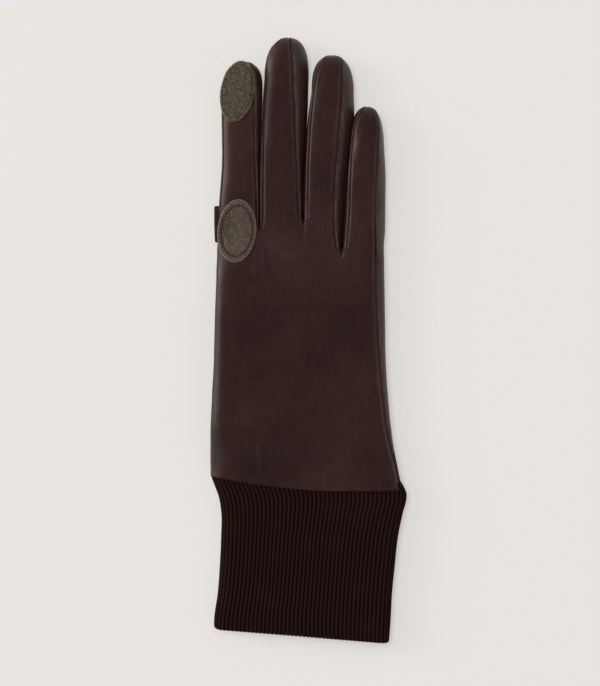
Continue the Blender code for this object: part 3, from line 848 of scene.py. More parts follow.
for part, panels, material, nodes in (
    ("back", ("back",), BACK_LEATHER, ("hand_back_panel", "index_base_back")),
    ("palm", ("palm",), SIDE_LEATHER, ("hand_palm_panel", "index_base_palm")),
    ("sides", WALLS, SIDE_LEATHER, ("ring_web_fourchette", "index_base_fourchette")),
):
    piece = cut_piece(f"hand_{part}_leather", skin, hand_piece(panels), material, LEATHER_THICKNESS)
    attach(piece, "hand")
    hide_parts(*nodes)

for finger in ("middle", "ring", "little"):
    root = HAND_ENDS[finger]
    for part, panels, material, nodes in (
        ("back", ("back",), BACK_LEATHER, (f"{finger}_back",)),
        ("palm", ("palm",), SIDE_LEATHER, (f"{finger}_palm",)),
        ("sides", WALLS, SIDE_LEATHER, (f"{finger}_outer_fourchette", f"{finger}_inner_fourchette")),
    ):
        chosen = finger_piece(finger, panels, root)
        piece = cut_piece(f"{finger}_{part}_leather", skin, chosen, material, LEATHER_THICKNESS)
        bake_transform(piece)
        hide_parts(*nodes)

# ---------------------------------------------------------------------------------------------------------
# The index fingertip: a cap slit free across the palm side, so that it folds back over the finger on the
# strip of back leather that still holds it, with gussets under its sides.
# ---------------------------------------------------------------------------------------------------------
INDEX_ROOT, SLIT, TONGUE_END, FOLD_LINE, FOLD_END = INDEX_CUTS


def index_back(name, low, high=math.inf):
    """A length of the index finger's back leather."""
    return cut_piece(name, skin, finger_piece("index", ("back",), low, high), BACK_LEATHER, LEATHER_THICKNESS)


tongue = index_back("index_tongue_leather", INDEX_ROOT, TONGUE_END)
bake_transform(tongue)
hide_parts("index_tongue")
fold = index_back("index_fold_leather", TONGUE_END, FOLD_END)
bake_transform(fold)
cap = index_back("index_cap_back_leather", FOLD_END)
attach(cap, "index_cap")
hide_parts("index_cap_back")
for part, panels, low, nodes in (
    ("palm", ("palm",), SLIT, ("index_cap_palm",)),
    ("sides", WALLS, INDEX_ROOT, ("index_cap_outer_fourchette", "index_cap_inner_fourchette")),
):
    chosen = finger_piece("index", panels, low)
    piece = cut_piece(f"index_cap_{part}_leather", skin, chosen, SIDE_LEATHER, LEATHER_THICKNESS)
    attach(piece, "index_cap")
    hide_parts(*nodes)

# ---------------------------------------------------------------------------------------------------------
# The gussets and linings: soft side pieces that keep the finger closed under the cap, and a thin brushed
# lining loose inside every piece of leather, sewn in at the seams.
# ---------------------------------------------------------------------------------------------------------
LINING_INSET = 1.5
LINING_THICKNESS = 0.45
LINING_PANELS = (("back", 5, 17.0), ("left", 3, 9.0), ("palm", 5, 16.0), ("right", 3, 9.0))
LINING_STEPS = (0.0, 1.5)
LINING_DARK, LINING_LIGHT = (0.016, 0.010, 0.008), (0.045, 0.029, 0.022)
LINING_EVERY = 3
GUSSET_INSET = 1.25
GUSSET_LAP = 0.5


def lining_rows(finger):
    """A finger's rows, thinned, but with each one that a piece or a crotch ends on."""
    rows = finger_rows(finger)
    fixed = {*INDEX_CUTS, *HAND_ENDS.values(), *(top for _, top in CROTCHES.values()), rows[-1]}
    return [row for at, row in enumerate(rows) if at % LINING_EVERY == 0 or row in fixed]


def brushed_lining():
    """A dark brushed cloth: short soft pile over a fine weave."""
    made, tree, shader = finished("brushed_lining", specular=0.2, sheen=0.5, sheen_tint=(0.30, 0.22, 0.18))
    coordinates = tree.nodes.new("ShaderNodeTexCoord")
    fluff = noise_node(tree, coordinates.outputs["Object"], 1800.0, 4.0, 0.7)
    broad = noise_node(tree, coordinates.outputs["Object"], 120.0, 2.0, 0.5)
    tone = ramp(tree, maths(tree, "ADD", fluff, broad), 0.6, 1.4)
    colour = mixed(tree, tone, LINING_DARK, LINING_LIGHT)
    tree.links.new(colour, shader.inputs["Base Color"])
    shader.inputs["Roughness"].default_value = 0.92
    bumped(tree, shader, fluff, 0.15 * MM)
    return made


LINING = brushed_lining()
lining = Skin(LINING_INSET, LINING_PANELS, LINING_STEPS, lining_rows, relief=False)
ALL_PANELS = ("back", "left", "palm", "right")
piece = cut_piece("hand_lining", lining, hand_piece(ALL_PANELS), LINING, LINING_THICKNESS)
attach(piece, "hand")
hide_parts("hand_back_lining", "hand_palm_lining", "index_base_lining")
for finger in ("middle", "ring", "little"):
    root = HAND_ENDS[finger]
    chosen = finger_piece(finger, ALL_PANELS, root)
    piece = cut_piece(f"{finger}_finger_lining", lining, chosen, LINING, LINING_THICKNESS)
    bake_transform(piece)
    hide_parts(f"{finger}_lining")
for part, panels, low, nodes in (
    ("palm", ("palm", *WALLS), FOLD_LINE, ("index_cap_lining",)),
    ("back", ("back",), FOLD_END, ()),
):
    chosen = finger_piece("index", panels, low)
    piece = cut_piece(f"index_cap_{part}_lining", lining, chosen, LINING, LINING_THICKNESS)
    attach(piece, "index_cap")
    for name in nodes:
        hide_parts(name)

gusset_skin = Skin(GUSSET_INSET, LINING_PANELS, LINING_STEPS, lining_rows, relief=False)
for wall, side in (("left", "outer"), ("right", "inner")):
    chosen = finger_piece("index", (wall,), SLIT, TONGUE_END + GUSSET_LAP)
    piece = cut_piece(f"index_{side}_gusset_leather", gusset_skin, chosen, SIDE_LEATHER, LEATHER_THICKNESS)
    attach(piece, "index_middle")
    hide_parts(f"index_{side}_gusset")

# ---------------------------------------------------------------------------------------------------------
# The seams: waxed thread in short stitches, deep in the fold where two leathers are sewn together. Each
# stitch is its own small capsule that dips into the leather at both ends.
# ---------------------------------------------------------------------------------------------------------
THREAD_RADIUS = 0.15
STITCH = 1.15
STITCH_SHARE = 0.68
STITCH_RINGS, STITCH_SIDES = 5, 5
SEAM_DEPTH = 0.30
PLY_SCALE = 2600.0


def twisted_thread(name, dark, light):
    """Thread with the slant of its plies, by its own coordinates."""
    made, tree, shader = finished(name, specular=0.2)
    coordinates = tree.nodes.new("ShaderNodeTexCoord")
    plies = node(tree, "ShaderNodeTexWave", wave_type="BANDS", bands_direction="DIAGONAL")
    plies.inputs["Scale"].default_value = PLY_SCALE
    plies.inputs["Distortion"].default_value = 1.5
    tree.links.new(coordinates.outputs["Object"], plies.inputs["Vector"])
    colour = mixed(tree, plies.outputs["Fac"], dark, light)
    tree.links.new(colour, shader.inputs["Base Color"])
    shader.inputs["Roughness"].default_value = 0.62
    bumped(tree, shader, plies.outputs["Fac"], 0.04 * MM)
    return made


THREAD = twisted_thread("seam_thread", (0.050, 0.0270, 0.0190), (0.150, 0.092, 0.067))


def walked(path, step):
    """Points evenly spaced along a path of points."""
    path = [Vector(point) for point in path]
    found, left = [path[0]], step
    for start, end in zip(path, path[1:]):
        length = (end - start).length
        done = 0.0
        while length - done >= left:
            done += left
            found.append(start.lerp(end, done / length))
            left = step
        left -= length - done
    return found


def stitch_mesh(start, end, up, radius):
    """The points and faces of one stitch from start to end, arched a little along up."""
    run = (end - start).normalized()
    side = run.cross(up).normalized()
    rise = side.cross(run)
    points, faces = [], []
    for step in range(STITCH_RINGS):
        share = step / (STITCH_RINGS - 1)
        bow = math.sin(math.pi * share)
        centre = start.lerp(end, share) + rise * radius * (1.1 * bow - 0.7)
        thick = radius * (0.45 + 0.55 * bow)
        for corner in range(STITCH_SIDES):
            angle = 2 * math.pi * corner / STITCH_SIDES
            points.append(centre + side * thick * math.cos(angle) + rise * thick * math.sin(angle))
    last = (STITCH_RINGS - 1) * STITCH_SIDES
    for row in range(0, last, STITCH_SIDES):
        after = row + STITCH_SIDES
        for corner in range(STITCH_SIDES):
            other = (corner + 1) % STITCH_SIDES
            faces.append((row + corner, row + other, after + other, after + corner))
    faces.append(tuple(reversed(range(STITCH_SIDES))))
    faces.append(tuple(range(last, last + STITCH_SIDES)))
    return points, faces


def joined(parts):
    """Several meshes' points and faces as one mesh's."""
    points, faces = [], []
    for more_points, more_faces in parts:
        faces += [tuple(corner + len(points) for corner in face) for face in more_faces]
        points += more_points
    return points, faces


def plain_object(name, points, faces, material, smooth=True):
    """An object with that mesh, given in millimetres."""
    mesh = bpy.data.meshes.new(name)
    mesh.from_pydata([tuple(c * MM for c in point) for point in points], [], faces)
    mesh.materials.append(material)
    mesh.polygons.foreach_set("use_smooth", [smooth] * len(mesh.polygons))
    mesh.update()
    return new_object(name, mesh)


def stitches(name, paths, radius=THREAD_RADIUS, step=STITCH, share=STITCH_SHARE, material=THREAD):
    """One piece of stitches along paths of (point, outward direction)."""
    parts = []
    for path in paths:
        places = walked([point for point, _ in path], step)
        for start, end in zip(places, places[1:]):
            nearest = min(path, key=lambda entry: (Vector(entry[0]) - start).length_squared)
            middle, half = (start + end) / 2, (end - start) * share / 2
            parts.append(stitch_mesh(middle - half, middle + half, Vector(nearest[1]), radius))
    points, faces = joined(parts)
    return plain_object(name, points, faces, material)


def seam_path(finger, left_side, side, low, high):
    """The line deep in one seam of a finger, on its back (side 1) or its palm (side -1)."""
    path = []
    for y in np.arange(low, min(high, finger.tip[1] - 1.0), 1.4):
        x, z = face_point(finger, y, 1.0 if left_side else 0.0, side)
        shifted = hem_shifted(x, y)
        outward = Vector((math.copysign(0.5, x - finger.section(y)[0]), 0.0, side)).normalized()
        place = Vector((x, shifted, z + thumb_lift(x, shifted, z)))
        path.append((place - outward * SEAM_DEPTH, outward))
    return path


for finger in FINGERS:
    root = HAND_ENDS[finger.name]
    low = SLIT if finger.name == "index" else root + 0.6
    paths = [seam_path(finger, left, side, low, math.inf) for left in (True, False) for side in (1, -1)]
    piece = stitches(f"{finger.name}_seam_stitches", paths)
    if finger.name == "index":
        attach(piece, "index_cap")
    else:
        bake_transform(piece)
    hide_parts(f"{finger.name}_seam_thread")

outseam = stitches("outseam_stitches", [seam_path(FINGERS[-1], False, 1, HEM_LOW + 1.0, 42.0)])
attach(outseam, "hand")
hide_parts("outseam_thread")

# ---------------------------------------------------------------------------------------------------------
# The tab: a narrow folded binding of the same leather that stands out from the thumb's side of the index
# finger's base, where the finger's side seam ends.
# ---------------------------------------------------------------------------------------------------------
TAB_LOW, TAB_HIGH = 46.6, 64.0
TAB_OUT, TAB_IN = -44.7, -41.4
TAB_Z = (5.2, 8.8)
TAB_ROUND = 0.9
TAB_WAVE, TAB_WAVE_LENGTH = 0.088, 3.1
TAB_LEAN, TAB_MIDDLE = 0.020, 55.0

bpy.ops.mesh.primitive_cube_add(
    size=1.0,
    location=((TAB_OUT + TAB_IN) / 2 * MM, (TAB_LOW + TAB_HIGH) / 2 * MM, sum(TAB_Z) / 2 * MM),
    scale=((TAB_IN - TAB_OUT) * MM, (TAB_HIGH - TAB_LOW) * MM, (TAB_Z[1] - TAB_Z[0]) * MM),
)
tab = bpy.context.object
tab.name = "index_side_tab"
bpy.ops.object.transform_apply(location=True, rotation=True, scale=True)
bpy.ops.object.mode_set(mode="EDIT")
bpy.ops.mesh.select_all(action="SELECT")
bpy.ops.mesh.bevel(offset=TAB_ROUND * MM, segments=4, profile=0.5, affect="EDGES")
bpy.ops.mesh.subdivide(number_cuts=1)
bpy.ops.object.mode_set(mode="OBJECT")
for vertex in tab.data.vertices:
    along = vertex.co.y / MM
    wave = TAB_WAVE * math.sin(along / TAB_WAVE_LENGTH)
    vertex.co.x += (wave - TAB_LEAN * (along - TAB_MIDDLE)) * MM
    vertex.co.z += 0.3 * noise.noise(vertex.co / MM / 5.0) * MM
tab.data.polygons.foreach_set("use_smooth", [True] * len(tab.data.polygons))
tab.data.materials.append(
    nappa("tab_nappa", dark=(0.026, 0.0065, 0.0048), warm=(0.050, 0.0130, 0.0090), wear=0.9, specular=0.1)
)
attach(tab, "hand")
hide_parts("index_side_binding")

# ---------------------------------------------------------------------------------------------------------
# The fastener: an oval of loop tape on the cap's back and an oval of hook tape on the hand below it, each
# sewn on near its edge. The loop tape is a tangled pile; the hook tape is a twill with rows of small hooks.
# ---------------------------------------------------------------------------------------------------------
TAPE_HEIGHT = 1.1
TAPE_RIM = 0.9
TAPE_EDGE = 0.25
DENT_WIDE = 0.55
TAPE_DROOP = 1.5
TAPE_SLOPE = 0.28
CROWN_STEPS = 12
RINGS, SPOKES = 18, 120


class Tape:
    """An oval of tape draped on the leather under it."""

    def __init__(self, centre, half, tilt_degrees, pieces):
        self.centre, self.half, self.tilt = centre, half, math.radians(tilt_degrees)
        self.trees = []
        for piece in pieces:
            corners = [tuple(vertex.co / MM) for vertex in piece.data.vertices]
            faces = [list(polygon.vertices) for polygon in piece.data.polygons]
            self.trees.append(BVHTree.FromPolygons(corners, faces))
        ys = self.across(CROWN_STEPS)
        crowns = [self.crown_at(y) for y in ys]
        for order in (range(1, len(ys)), range(len(ys) - 2, -1, -1)):
            for at in order:
                before = at - 1 if order.step == 1 else at + 1
                crowns[at] = max(crowns[at], crowns[before] - TAPE_SLOPE * (ys[1] - ys[0]))
        self.crowns = Line(list(zip(ys, crowns)))

    def across(self, count):
        """Heights y at which the leather's crown is measured."""
        low, high = self.centre[1] - self.half[1], self.centre[1] + self.half[1]
        return [low + (high - low) * step / count for step in range(count + 1)]

    def crown_at(self, y):
        """The leather's greatest height across the tape at y."""
        steps = (-0.6, -0.4, -0.2, 0.0, 0.2, 0.4, 0.6)
        return max(self.under(self.centre[0] + step * self.half[0], y) for step in steps)

    def place(self, angle, reach):
        """(x, y) at that angle and share of the way out from the oval's middle."""
        across, up = reach * self.half[0] * math.cos(angle), reach * self.half[1] * math.sin(angle)
        cos, sin = math.cos(self.tilt), math.sin(self.tilt)
        return self.centre[0] + across * cos - up * sin, self.centre[1] + across * sin + up * cos

    def under(self, x, y):
        """The height of the leather at (x, y)."""
        above, down = Vector((x, y, 60.0)), Vector((0.0, 0.0, -1.0))
        hits = [tree.ray_cast(above, down)[0] for tree in self.trees]
        return max((hit.z for hit in hits if hit is not None), default=-99.0)

    def height(self, x, y):
        """The height of the tape's underside at (x, y): it is too stiff to follow the leather far down."""
        crown = self.crowns.at(y)
        drop = max(crown - self.under(x, y), 0.0)
        return crown - TAPE_DROOP * (1.0 - math.exp(-drop / TAPE_DROOP))

    def inside(self, x, y):
        """How far (x, y) is inside the oval's edge, in millimetres, roughly."""
        across, up = x - self.centre[0], y - self.centre[1]
        cos, sin = math.cos(self.tilt), math.sin(self.tilt)
        wide, tall = (across * cos + up * sin) / self.half[0], (-across * sin + up * cos) / self.half[1]
        return (1.0 - math.hypot(wide, tall)) * self.mean_half()

    def mean_half(self):
        """The oval's half size as if it were round, a little less than halfway between its two."""
        return (self.half[0] + self.half[1]) / 2 * 0.86


def tape_pad(name, tape, rise_at, material):
    """The tape's body: a draped oval with a rounded rim and rise_at(distance in from the edge) on top."""
    points, faces = [], []
    for ring in range(RINGS + 1):
        reach = 1.0 - (1.0 - ring / RINGS) ** 1.7
        for spoke in range(SPOKES):
            angle = 2 * math.pi * spoke / SPOKES
            x, y = tape.place(angle, max(reach, 0.02))
            points.append((x, y, tape.height(x, y) + rise_at(tape.inside(x, y))))
    for spoke in range(SPOKES):
        x, y = tape.place(2 * math.pi * spoke / SPOKES, 0.985)
        points.append((x, y, tape.height(x, y)))
    for ring in range(RINGS + 1):
        for spoke in range(SPOKES):
            other = (spoke + 1) % SPOKES
            row, after = ring * SPOKES, (ring + 1) * SPOKES
            faces.append((row + spoke, after + spoke, after + other, row + other))
    faces.append(tuple(range(SPOKES)))
    last = (RINGS + 1) * SPOKES
    faces.append(tuple(reversed(range(last, last + SPOKES))))
    return plain_object(name, points, faces, material)


def tape_rise(dent_at, dent):
    """The tape's thickness by distance in from its edge: a rolled rim, and the dent its stitches pull."""
    def rise(inside):
        inside = max(inside, 0.0)
        rim = math.sqrt(max(1.0 - (1.0 - min(inside / TAPE_RIM, 1.0)) ** 2, 0.0))
        sunk = dent * math.exp(-(((inside - dent_at) / DENT_WIDE) ** 2))
        return TAPE_EDGE + (TAPE_HEIGHT - TAPE_EDGE) * rim - sunk
    return rise


def tape_material(name, dark, light, scale):
    """Nylon tape: mottled yarn with a fine slanting weave."""
    made, tree, shader = finished(name, specular=0.25, sheen=0.35, sheen_tint=(0.8, 0.75, 0.6))
    coordinates = tree.nodes.new("ShaderNodeTexCoord")
    weave = node(tree, "ShaderNodeTexWave", wave_type="BANDS", bands_direction="DIAGONAL")
    weave.inputs["Scale"].default_value = scale
    weave.inputs["Distortion"].default_value = 2.0
    weave.inputs["Detail"].default_value = 3.0
    weave.inputs["Detail Scale"].default_value = 3.0
    tree.links.new(coordinates.outputs["Object"], weave.inputs["Vector"])
    mottle = noise_node(tree, coordinates.outputs["Object"], 620.0, 3.0, 0.7)
    tone = maths(tree, "ADD", maths(tree, "MULTIPLY", weave.outputs["Fac"], 0.35), mottle)
    tone = ramp(tree, tone, 0.5, 0.95)
    tree.links.new(mixed(tree, tone, dark, light), shader.inputs["Base Color"])
    shader.inputs["Roughness"].default_value = 0.85
    bumped(tree, shader, weave.outputs["Fac"], 0.12 * MM)
    return made


LOOP_BASE = tape_material("loop_tape_base", (0.030, 0.022, 0.013), (0.100, 0.077, 0.049), 700.0)
LOOP_YARN = tape_material("loop_pile_yarn", (0.034, 0.026, 0.015), (0.390, 0.318, 0.217), 1500.0)
HOOK_BASE = tape_material("hook_tape_base", (0.042, 0.031, 0.023), (0.115, 0.088, 0.067), 420.0)
HOOK_YARN = tape_material("hook_yarn", (0.130, 0.100, 0.077), (0.250, 0.200, 0.158), 1500.0)
RIM_YARN = tape_material("tape_rim_yarn", (0.300, 0.240, 0.188), (0.640, 0.540, 0.440), 1800.0)


def bent_yarn(centre, radius, turn, lean, yarn, start, sweep, steps=5, corners=3):
    """One arched hair of yarn: part of a ring that stands on the tape, turned and leaning."""
    points, faces = [], []
    cos, sin = math.cos(turn), math.sin(turn)
    for step in range(steps + 1):
        angle = start + sweep * step / steps
        for corner in range(corners):
            swing = 2 * math.pi * corner / corners
            out = radius + yarn * math.cos(swing)
            run, up, across = out * math.cos(angle), out * math.sin(angle), yarn * math.sin(swing)
            across += lean * up
            x, y = centre[0] + run * cos - across * sin, centre[1] + run * sin + across * cos
            points.append((x, y, centre[2] + up))
    for step in range(steps):
        for corner in range(corners):
            other = (corner + 1) % corners
            row, after = step * corners, (step + 1) * corners
            faces.append((row + corner, after + corner, after + other, row + other))
    return points, faces


def rim_stitches(name, tape, inside, rise, step, share, radius, material):
    """Stitches round a tape, that distance in from its edge."""
    path = []
    for spoke in range(SPOKES + 1):
        x, y = tape.place(2 * math.pi * spoke / SPOKES, 1.0 - inside / tape.mean_half())
        path.append((Vector((x, y, tape.height(x, y) + rise)), Vector((0, 0, 1))))
    return stitches(name, [path], radius, step, share, material)


TAPE_THREAD = twisted_thread("tape_thread", (0.014, 0.0048, 0.0034), (0.060, 0.026, 0.019))
random_source = np.random.default_rng(7)

LOOP_CENTRE, LOOP_HALF, LOOP_TILT = (-33.6, 118.0), (8.0, 14.9), -10.0
LOOP_SEWN_AT = 1.4
LOOP_RISE = tape_rise(LOOP_SEWN_AT, 0.15)
PILE_COUNT = 2300
PILE_RADIUS, PILE_LEAN, PILE_YARN = (0.26, 0.52), (-1.3, 1.3), (0.05, 0.085)
PILE_SUNK = 0.15

loop_tape = Tape(LOOP_CENTRE, LOOP_HALF, LOOP_TILT, [cap])
loop_pad = tape_pad("loop_tape", loop_tape, LOOP_RISE, LOOP_BASE)
pile = []
for _ in range(PILE_COUNT):
    angle, reach = random_source.uniform(0, 2 * math.pi), math.sqrt(random_source.uniform(0, 1))
    x, y = loop_tape.place(angle, reach * 0.975)
    radius = random_source.uniform(*PILE_RADIUS)
    turn = random_source.uniform(0, math.pi)
    lean = random_source.uniform(*PILE_LEAN)
    yarn = random_source.uniform(*PILE_YARN)
    base = loop_tape.height(x, y) + LOOP_RISE(loop_tape.inside(x, y)) - PILE_SUNK
    pile.append(bent_yarn((x, y, base), radius, turn, lean, yarn, start=-0.3, sweep=math.pi + 0.6))
loop_pile = plain_object("loop_tape_pile", *joined(pile), LOOP_YARN)
loop_rim = rim_stitches(
    "loop_tape_rim", loop_tape, inside=0.32, rise=0.62, step=0.72, share=0.95, radius=0.24, material=RIM_YARN
)
loop_thread = rim_stitches(
    "loop_tape_stitches", loop_tape, inside=LOOP_SEWN_AT, rise=1.12, step=1.7, share=0.74, radius=0.24,
    material=TAPE_THREAD,
)
for piece in (loop_pad, loop_pile, loop_rim, loop_thread):
    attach(piece, "index_cap")
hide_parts("loop_patch")
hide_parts("loop_patch_stitching")

HOOK_CENTRE, HOOK_HALF, HOOK_TILT = (-33.9, 51.8), (9.2, 15.1), -5.0
HOOK_SEWN_AT = 2.1
HOOK_RISE = tape_rise(HOOK_SEWN_AT, 0.3)
HOOK_ROWS, HOOK_COLUMNS, HOOK_PITCH = 16, 11, (0.95, 1.05)
HOOK_MARGIN = 2.9
HOOK_TURNS, HOOK_BAND = (122.0, 58.0), 3
HOOK_WANDER, HOOK_LEAN = 0.2, 0.3
HOOK_RADIUS, HOOK_THICK, HOOK_SUNK = 0.36, 0.12, 0.1

hook_tape = Tape(HOOK_CENTRE, HOOK_HALF, HOOK_TILT, [bpy.data.objects["hand_back_leather"], tongue])
hook_pad = tape_pad("hook_tape", hook_tape, HOOK_RISE, HOOK_BASE)
hooks = []
for row in range(-HOOK_ROWS, HOOK_ROWS + 1):
    for column in range(-HOOK_COLUMNS, HOOK_COLUMNS + 1):
        x = hook_tape.centre[0] + (column + 0.5 * (row % 2)) * HOOK_PITCH[0]
        y = hook_tape.centre[1] + row * HOOK_PITCH[1]
        inside = hook_tape.inside(x, y)
        if inside < HOOK_MARGIN:
            continue
        base = hook_tape.height(x, y) + HOOK_RISE(inside) - HOOK_SUNK
        turn = math.radians(HOOK_TURNS[column // HOOK_BAND % 2])
        turn += random_source.uniform(-HOOK_WANDER, HOOK_WANDER)
        lean = random_source.uniform(-HOOK_LEAN, HOOK_LEAN)
        hook = bent_yarn((x, y, base), HOOK_RADIUS, turn, lean, HOOK_THICK, start=0.0, sweep=2.5, corners=4)
        hooks.append(hook)
hook_hair = plain_object("hook_tape_hooks", *joined(hooks), HOOK_YARN)
hook_rim = rim_stitches(
    "hook_tape_rim", hook_tape, inside=0.36, rise=0.66, step=0.72, share=0.95, radius=0.26, material=RIM_YARN
)
hook_thread = rim_stitches(
    "hook_tape_stitches", hook_tape, inside=HOOK_SEWN_AT, rise=1.05, step=1.35, share=0.74, radius=0.44,
    material=TAPE_THREAD,
)
for piece in (hook_pad, hook_hair, hook_rim, hook_thread):
    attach(piece, "hand")
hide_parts("hook_patch")
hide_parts("hook_patch_stitching")

# ---------------------------------------------------------------------------------------------------------
# The thumb: two leathers sewn round a flat tube with a lining inside, folded in under the palm. It is set
# in a round hole in the palm, with a ring of stitches round the hole.
# ---------------------------------------------------------------------------------------------------------
THUMB_AT = (-27.0, -28.0)
THUMB_LONG = 57.0
THUMB_TURN = math.radians(6.0)
THUMB_WIDE = 14.0
THUMB_TALL = 9.0
THUMB_NECK = 10.6
THUMB_NECK_AT = 30.0
THUMB_TIP = 16.0
THUMB_SEAM = 0.75
MOUTH_RADIUS = THUMB_WIDE - 0.4
MOUTH_STEPS = 72
THUMB_COLUMNS, THUMB_ROWS = 48, 46


def thumb_ring(run):
    """Half width and half height of the thumb at a distance from its pivot."""
    shoulder = THUMB_LONG - THUMB_TIP
    if run < 0:
        closing = math.sqrt(max(1.0 - (run / THUMB_WIDE) ** 2, 0.0))
        return THUMB_WIDE * closing, THUMB_TALL / 2 * closing**0.6
    width = THUMB_WIDE + (THUMB_NECK - THUMB_WIDE) * eased(run / THUMB_NECK_AT)
    closing = 1.0
    if run > shoulder:
        share = min((run - shoulder) / (THUMB_LONG - shoulder), 1.0)
        closing = (1.0 - share**DOME) ** (1.0 / DOME)
    return width * closing, THUMB_TALL / 2 * closing**0.8


def thumb_point(degrees, share, inset=0.0):
    """A point round the thumb, from share 0 at its heel to 1 at its tip."""
    run = THUMB_LONG - (THUMB_LONG + THUMB_WIDE) * (1.0 + math.cos(math.pi * share)) / 2
    half, tall = (max(size - inset, 0.0) for size in thumb_ring(run))
    angle = math.radians(degrees)
    across = half * math.copysign(abs(math.cos(angle)) ** (2 / PUFF), math.cos(angle))
    rise = tall * math.copysign(abs(math.sin(angle)) ** (2 / 3.0), math.sin(angle))
    seam = THUMB_SEAM * math.exp(-((min(degrees % 180, 180 - degrees % 180) / 5.0) ** 2))
    across -= math.copysign(min(seam, half), across)
    wave = 0.25 * noise.noise(Vector((across / 6.0, run / 9.0, rise / 6.0)))
    x = THUMB_AT[0] + across * math.cos(THUMB_TURN) + run * math.sin(THUMB_TURN)
    y = THUMB_AT[1] - across * math.sin(THUMB_TURN) + run * math.cos(THUMB_TURN)
    return x, y, THUMB_TALL / 2 + rise * (1.0 - 0.05 * abs(wave))


def thumb_sheet(name, first, last, inset, thickness, material):
    """One of the thumb's two leathers, or its lining, between two angles round it."""
    points, faces = [], []
    for depth in (0.0, thickness):
        for row in range(THUMB_ROWS + 1):
            share = 0.01 + 0.98 * row / THUMB_ROWS
            for column in range(THUMB_COLUMNS + 1):
                degrees = first + (last - first) * column / THUMB_COLUMNS
                points.append(thumb_point(degrees, share, inset + depth))
    wide, layer = THUMB_COLUMNS + 1, (THUMB_COLUMNS + 1) * (THUMB_ROWS + 1)
    for row in range(THUMB_ROWS):
        for column in range(THUMB_COLUMNS):
            a, b = row * wide + column, row * wide + column + 1
            faces.append((a, b, b + wide, a + wide))
            faces.append((a + layer, a + wide + layer, b + wide + layer, b + layer))
    for row in range(THUMB_ROWS):
        for column in (0, THUMB_COLUMNS):
            a, b = row * wide + column, (row + 1) * wide + column
            faces.append((a, b, b + layer, a + layer) if column == 0 else (b, a, a + layer, b + layer))
    for column in range(THUMB_COLUMNS):
        for row in (0, THUMB_ROWS):
            a, b = row * wide + column, row * wide + column + 1
            faces.append((b, a, a + layer, b + layer) if row == 0 else (a, b, b + layer, a + layer))
    return plain_object(name, points, faces, material)


for name, solid, angles, inset, thickness, material, slot in (
    ("thumb_upper_leather", "thumb_upper", (2.0, 178.0), 0.0, LEATHER_THICKNESS, SIDE_LEATHER, "leather"),
    ("thumb_lower_leather", "thumb_lower", (182.0, 358.0), 0.0, LEATHER_THICKNESS, SIDE_LEATHER, "leather"),
    ("thumb_soft_lining", "thumb_lining", (0.5, 359.5), LINING_INSET, LINING_THICKNESS, LINING, "lining"),
):
    piece = thumb_sheet(name, *angles, inset, thickness, material)
    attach(piece, "thumb")
    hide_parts(solid)

thumb_mouth = []
for step in range(MOUTH_STEPS + 1):
    angle = 2 * math.pi * step / MOUTH_STEPS
    x = THUMB_AT[0] + MOUTH_RADIUS * math.cos(angle)
    y = THUMB_AT[1] + MOUTH_RADIUS * math.sin(angle)
    thumb_mouth.append((Vector((x, y, thumb_lift(x, y) + 0.1)), Vector((0, 0, -1))))
mouth_stitches = stitches("thumb_hole_stitches", [thumb_mouth])
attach(mouth_stitches, "hand")
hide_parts("thumb_seam_thread")

# ---------------------------------------------------------------------------------------------------------
# The cuff: a 1x1 rib knit in dark wool, doubled and folded at the wrist's end, with its raw ends sewn inside
# the leather's hem. The ribs stand up as rounded cords, and the fold's edge is scalloped by them.
# ---------------------------------------------------------------------------------------------------------
CUFF_LEFT = Line(
    ((-143.8, -44.6), (-133.0, -45.0), (-120.0, -43.2), (-107.0, -42.2), (-94.0, -41.6), (-82.0, -41.5),
     (-73.7, -42.9), (-68.0, -45.1), (-64.5, -46.3), (-60.0, -46.4))
)
CUFF_RIGHT = Line(
    ((-143.8, 38.4), (-133.0, 39.2), (-120.0, 39.9), (-107.0, 41.2), (-94.0, 42.6), (-82.0, 45.0),
     (-75.5, 46.7), (-72.5, 46.8), (-70.0, 45.8), (-66.0, 43.8), (-60.0, 42.4))
)
CUFF_TALL = 11.0
CUFF_ENDS = (-137.2, -144.0)
CUFF_TUCK = 4.0
RIBS = 92
RIB_COLUMNS = 8
RIB_HEIGHT = 0.72
CUFF_OUTER_ROWS, CUFF_FOLD_ROWS, CUFF_INNER_ROWS = 40, 5, 10
CUFF_LAYER = 1.5
CORNER_ROUND = 3.6
KNIT_GAP_SHADE, KNIT_CROWN = (0.0036, 0.0016, 0.0013), (0.0185, 0.0078, 0.0062)
FUZZ_SCALE, PATCH_SCALE = 2600.0, 70.0
FOLD_LEFT, FOLD_WIDE = -44.8, 83.2
FOLD_CORNERS = (-45.4, 39.2)
FOLD_RUN = 0.985
RIB_WANDER = 0.004
COURSE = 1.15


def stadium(share, half, tall):
    """A point on a flattened tube and its outward direction; share runs round it from its right side."""
    radius = min(tall, half)
    straight = 2 * (half - radius)
    length = 2 * straight + 2 * math.pi * radius
    run = (share % 1.0) * length
    quarter = math.pi * radius / 2
    if run < quarter:
        angle = run / radius
        centre = half - radius
    elif run < quarter + straight:
        return (half - radius - (run - quarter), tall), (0.0, 1.0)
    elif run < 3 * quarter + straight:
        angle = math.pi / 2 + (run - quarter - straight) / radius
        centre = radius - half
    elif run < 3 * quarter + 2 * straight:
        return (radius - half + (run - 3 * quarter - straight), -tall), (0.0, -1.0)
    else:
        angle = 1.5 * math.pi + (run - 3 * quarter - 2 * straight) / radius
        centre = half - radius
    direction = (math.cos(angle), math.sin(angle))
    return (centre + radius * direction[0], tall * direction[1]), direction


def rib_profile(share):
    """0 in the gaps between ribs and 1 along their crowns."""
    return abs(math.sin(math.pi * RIBS * share)) ** 0.75


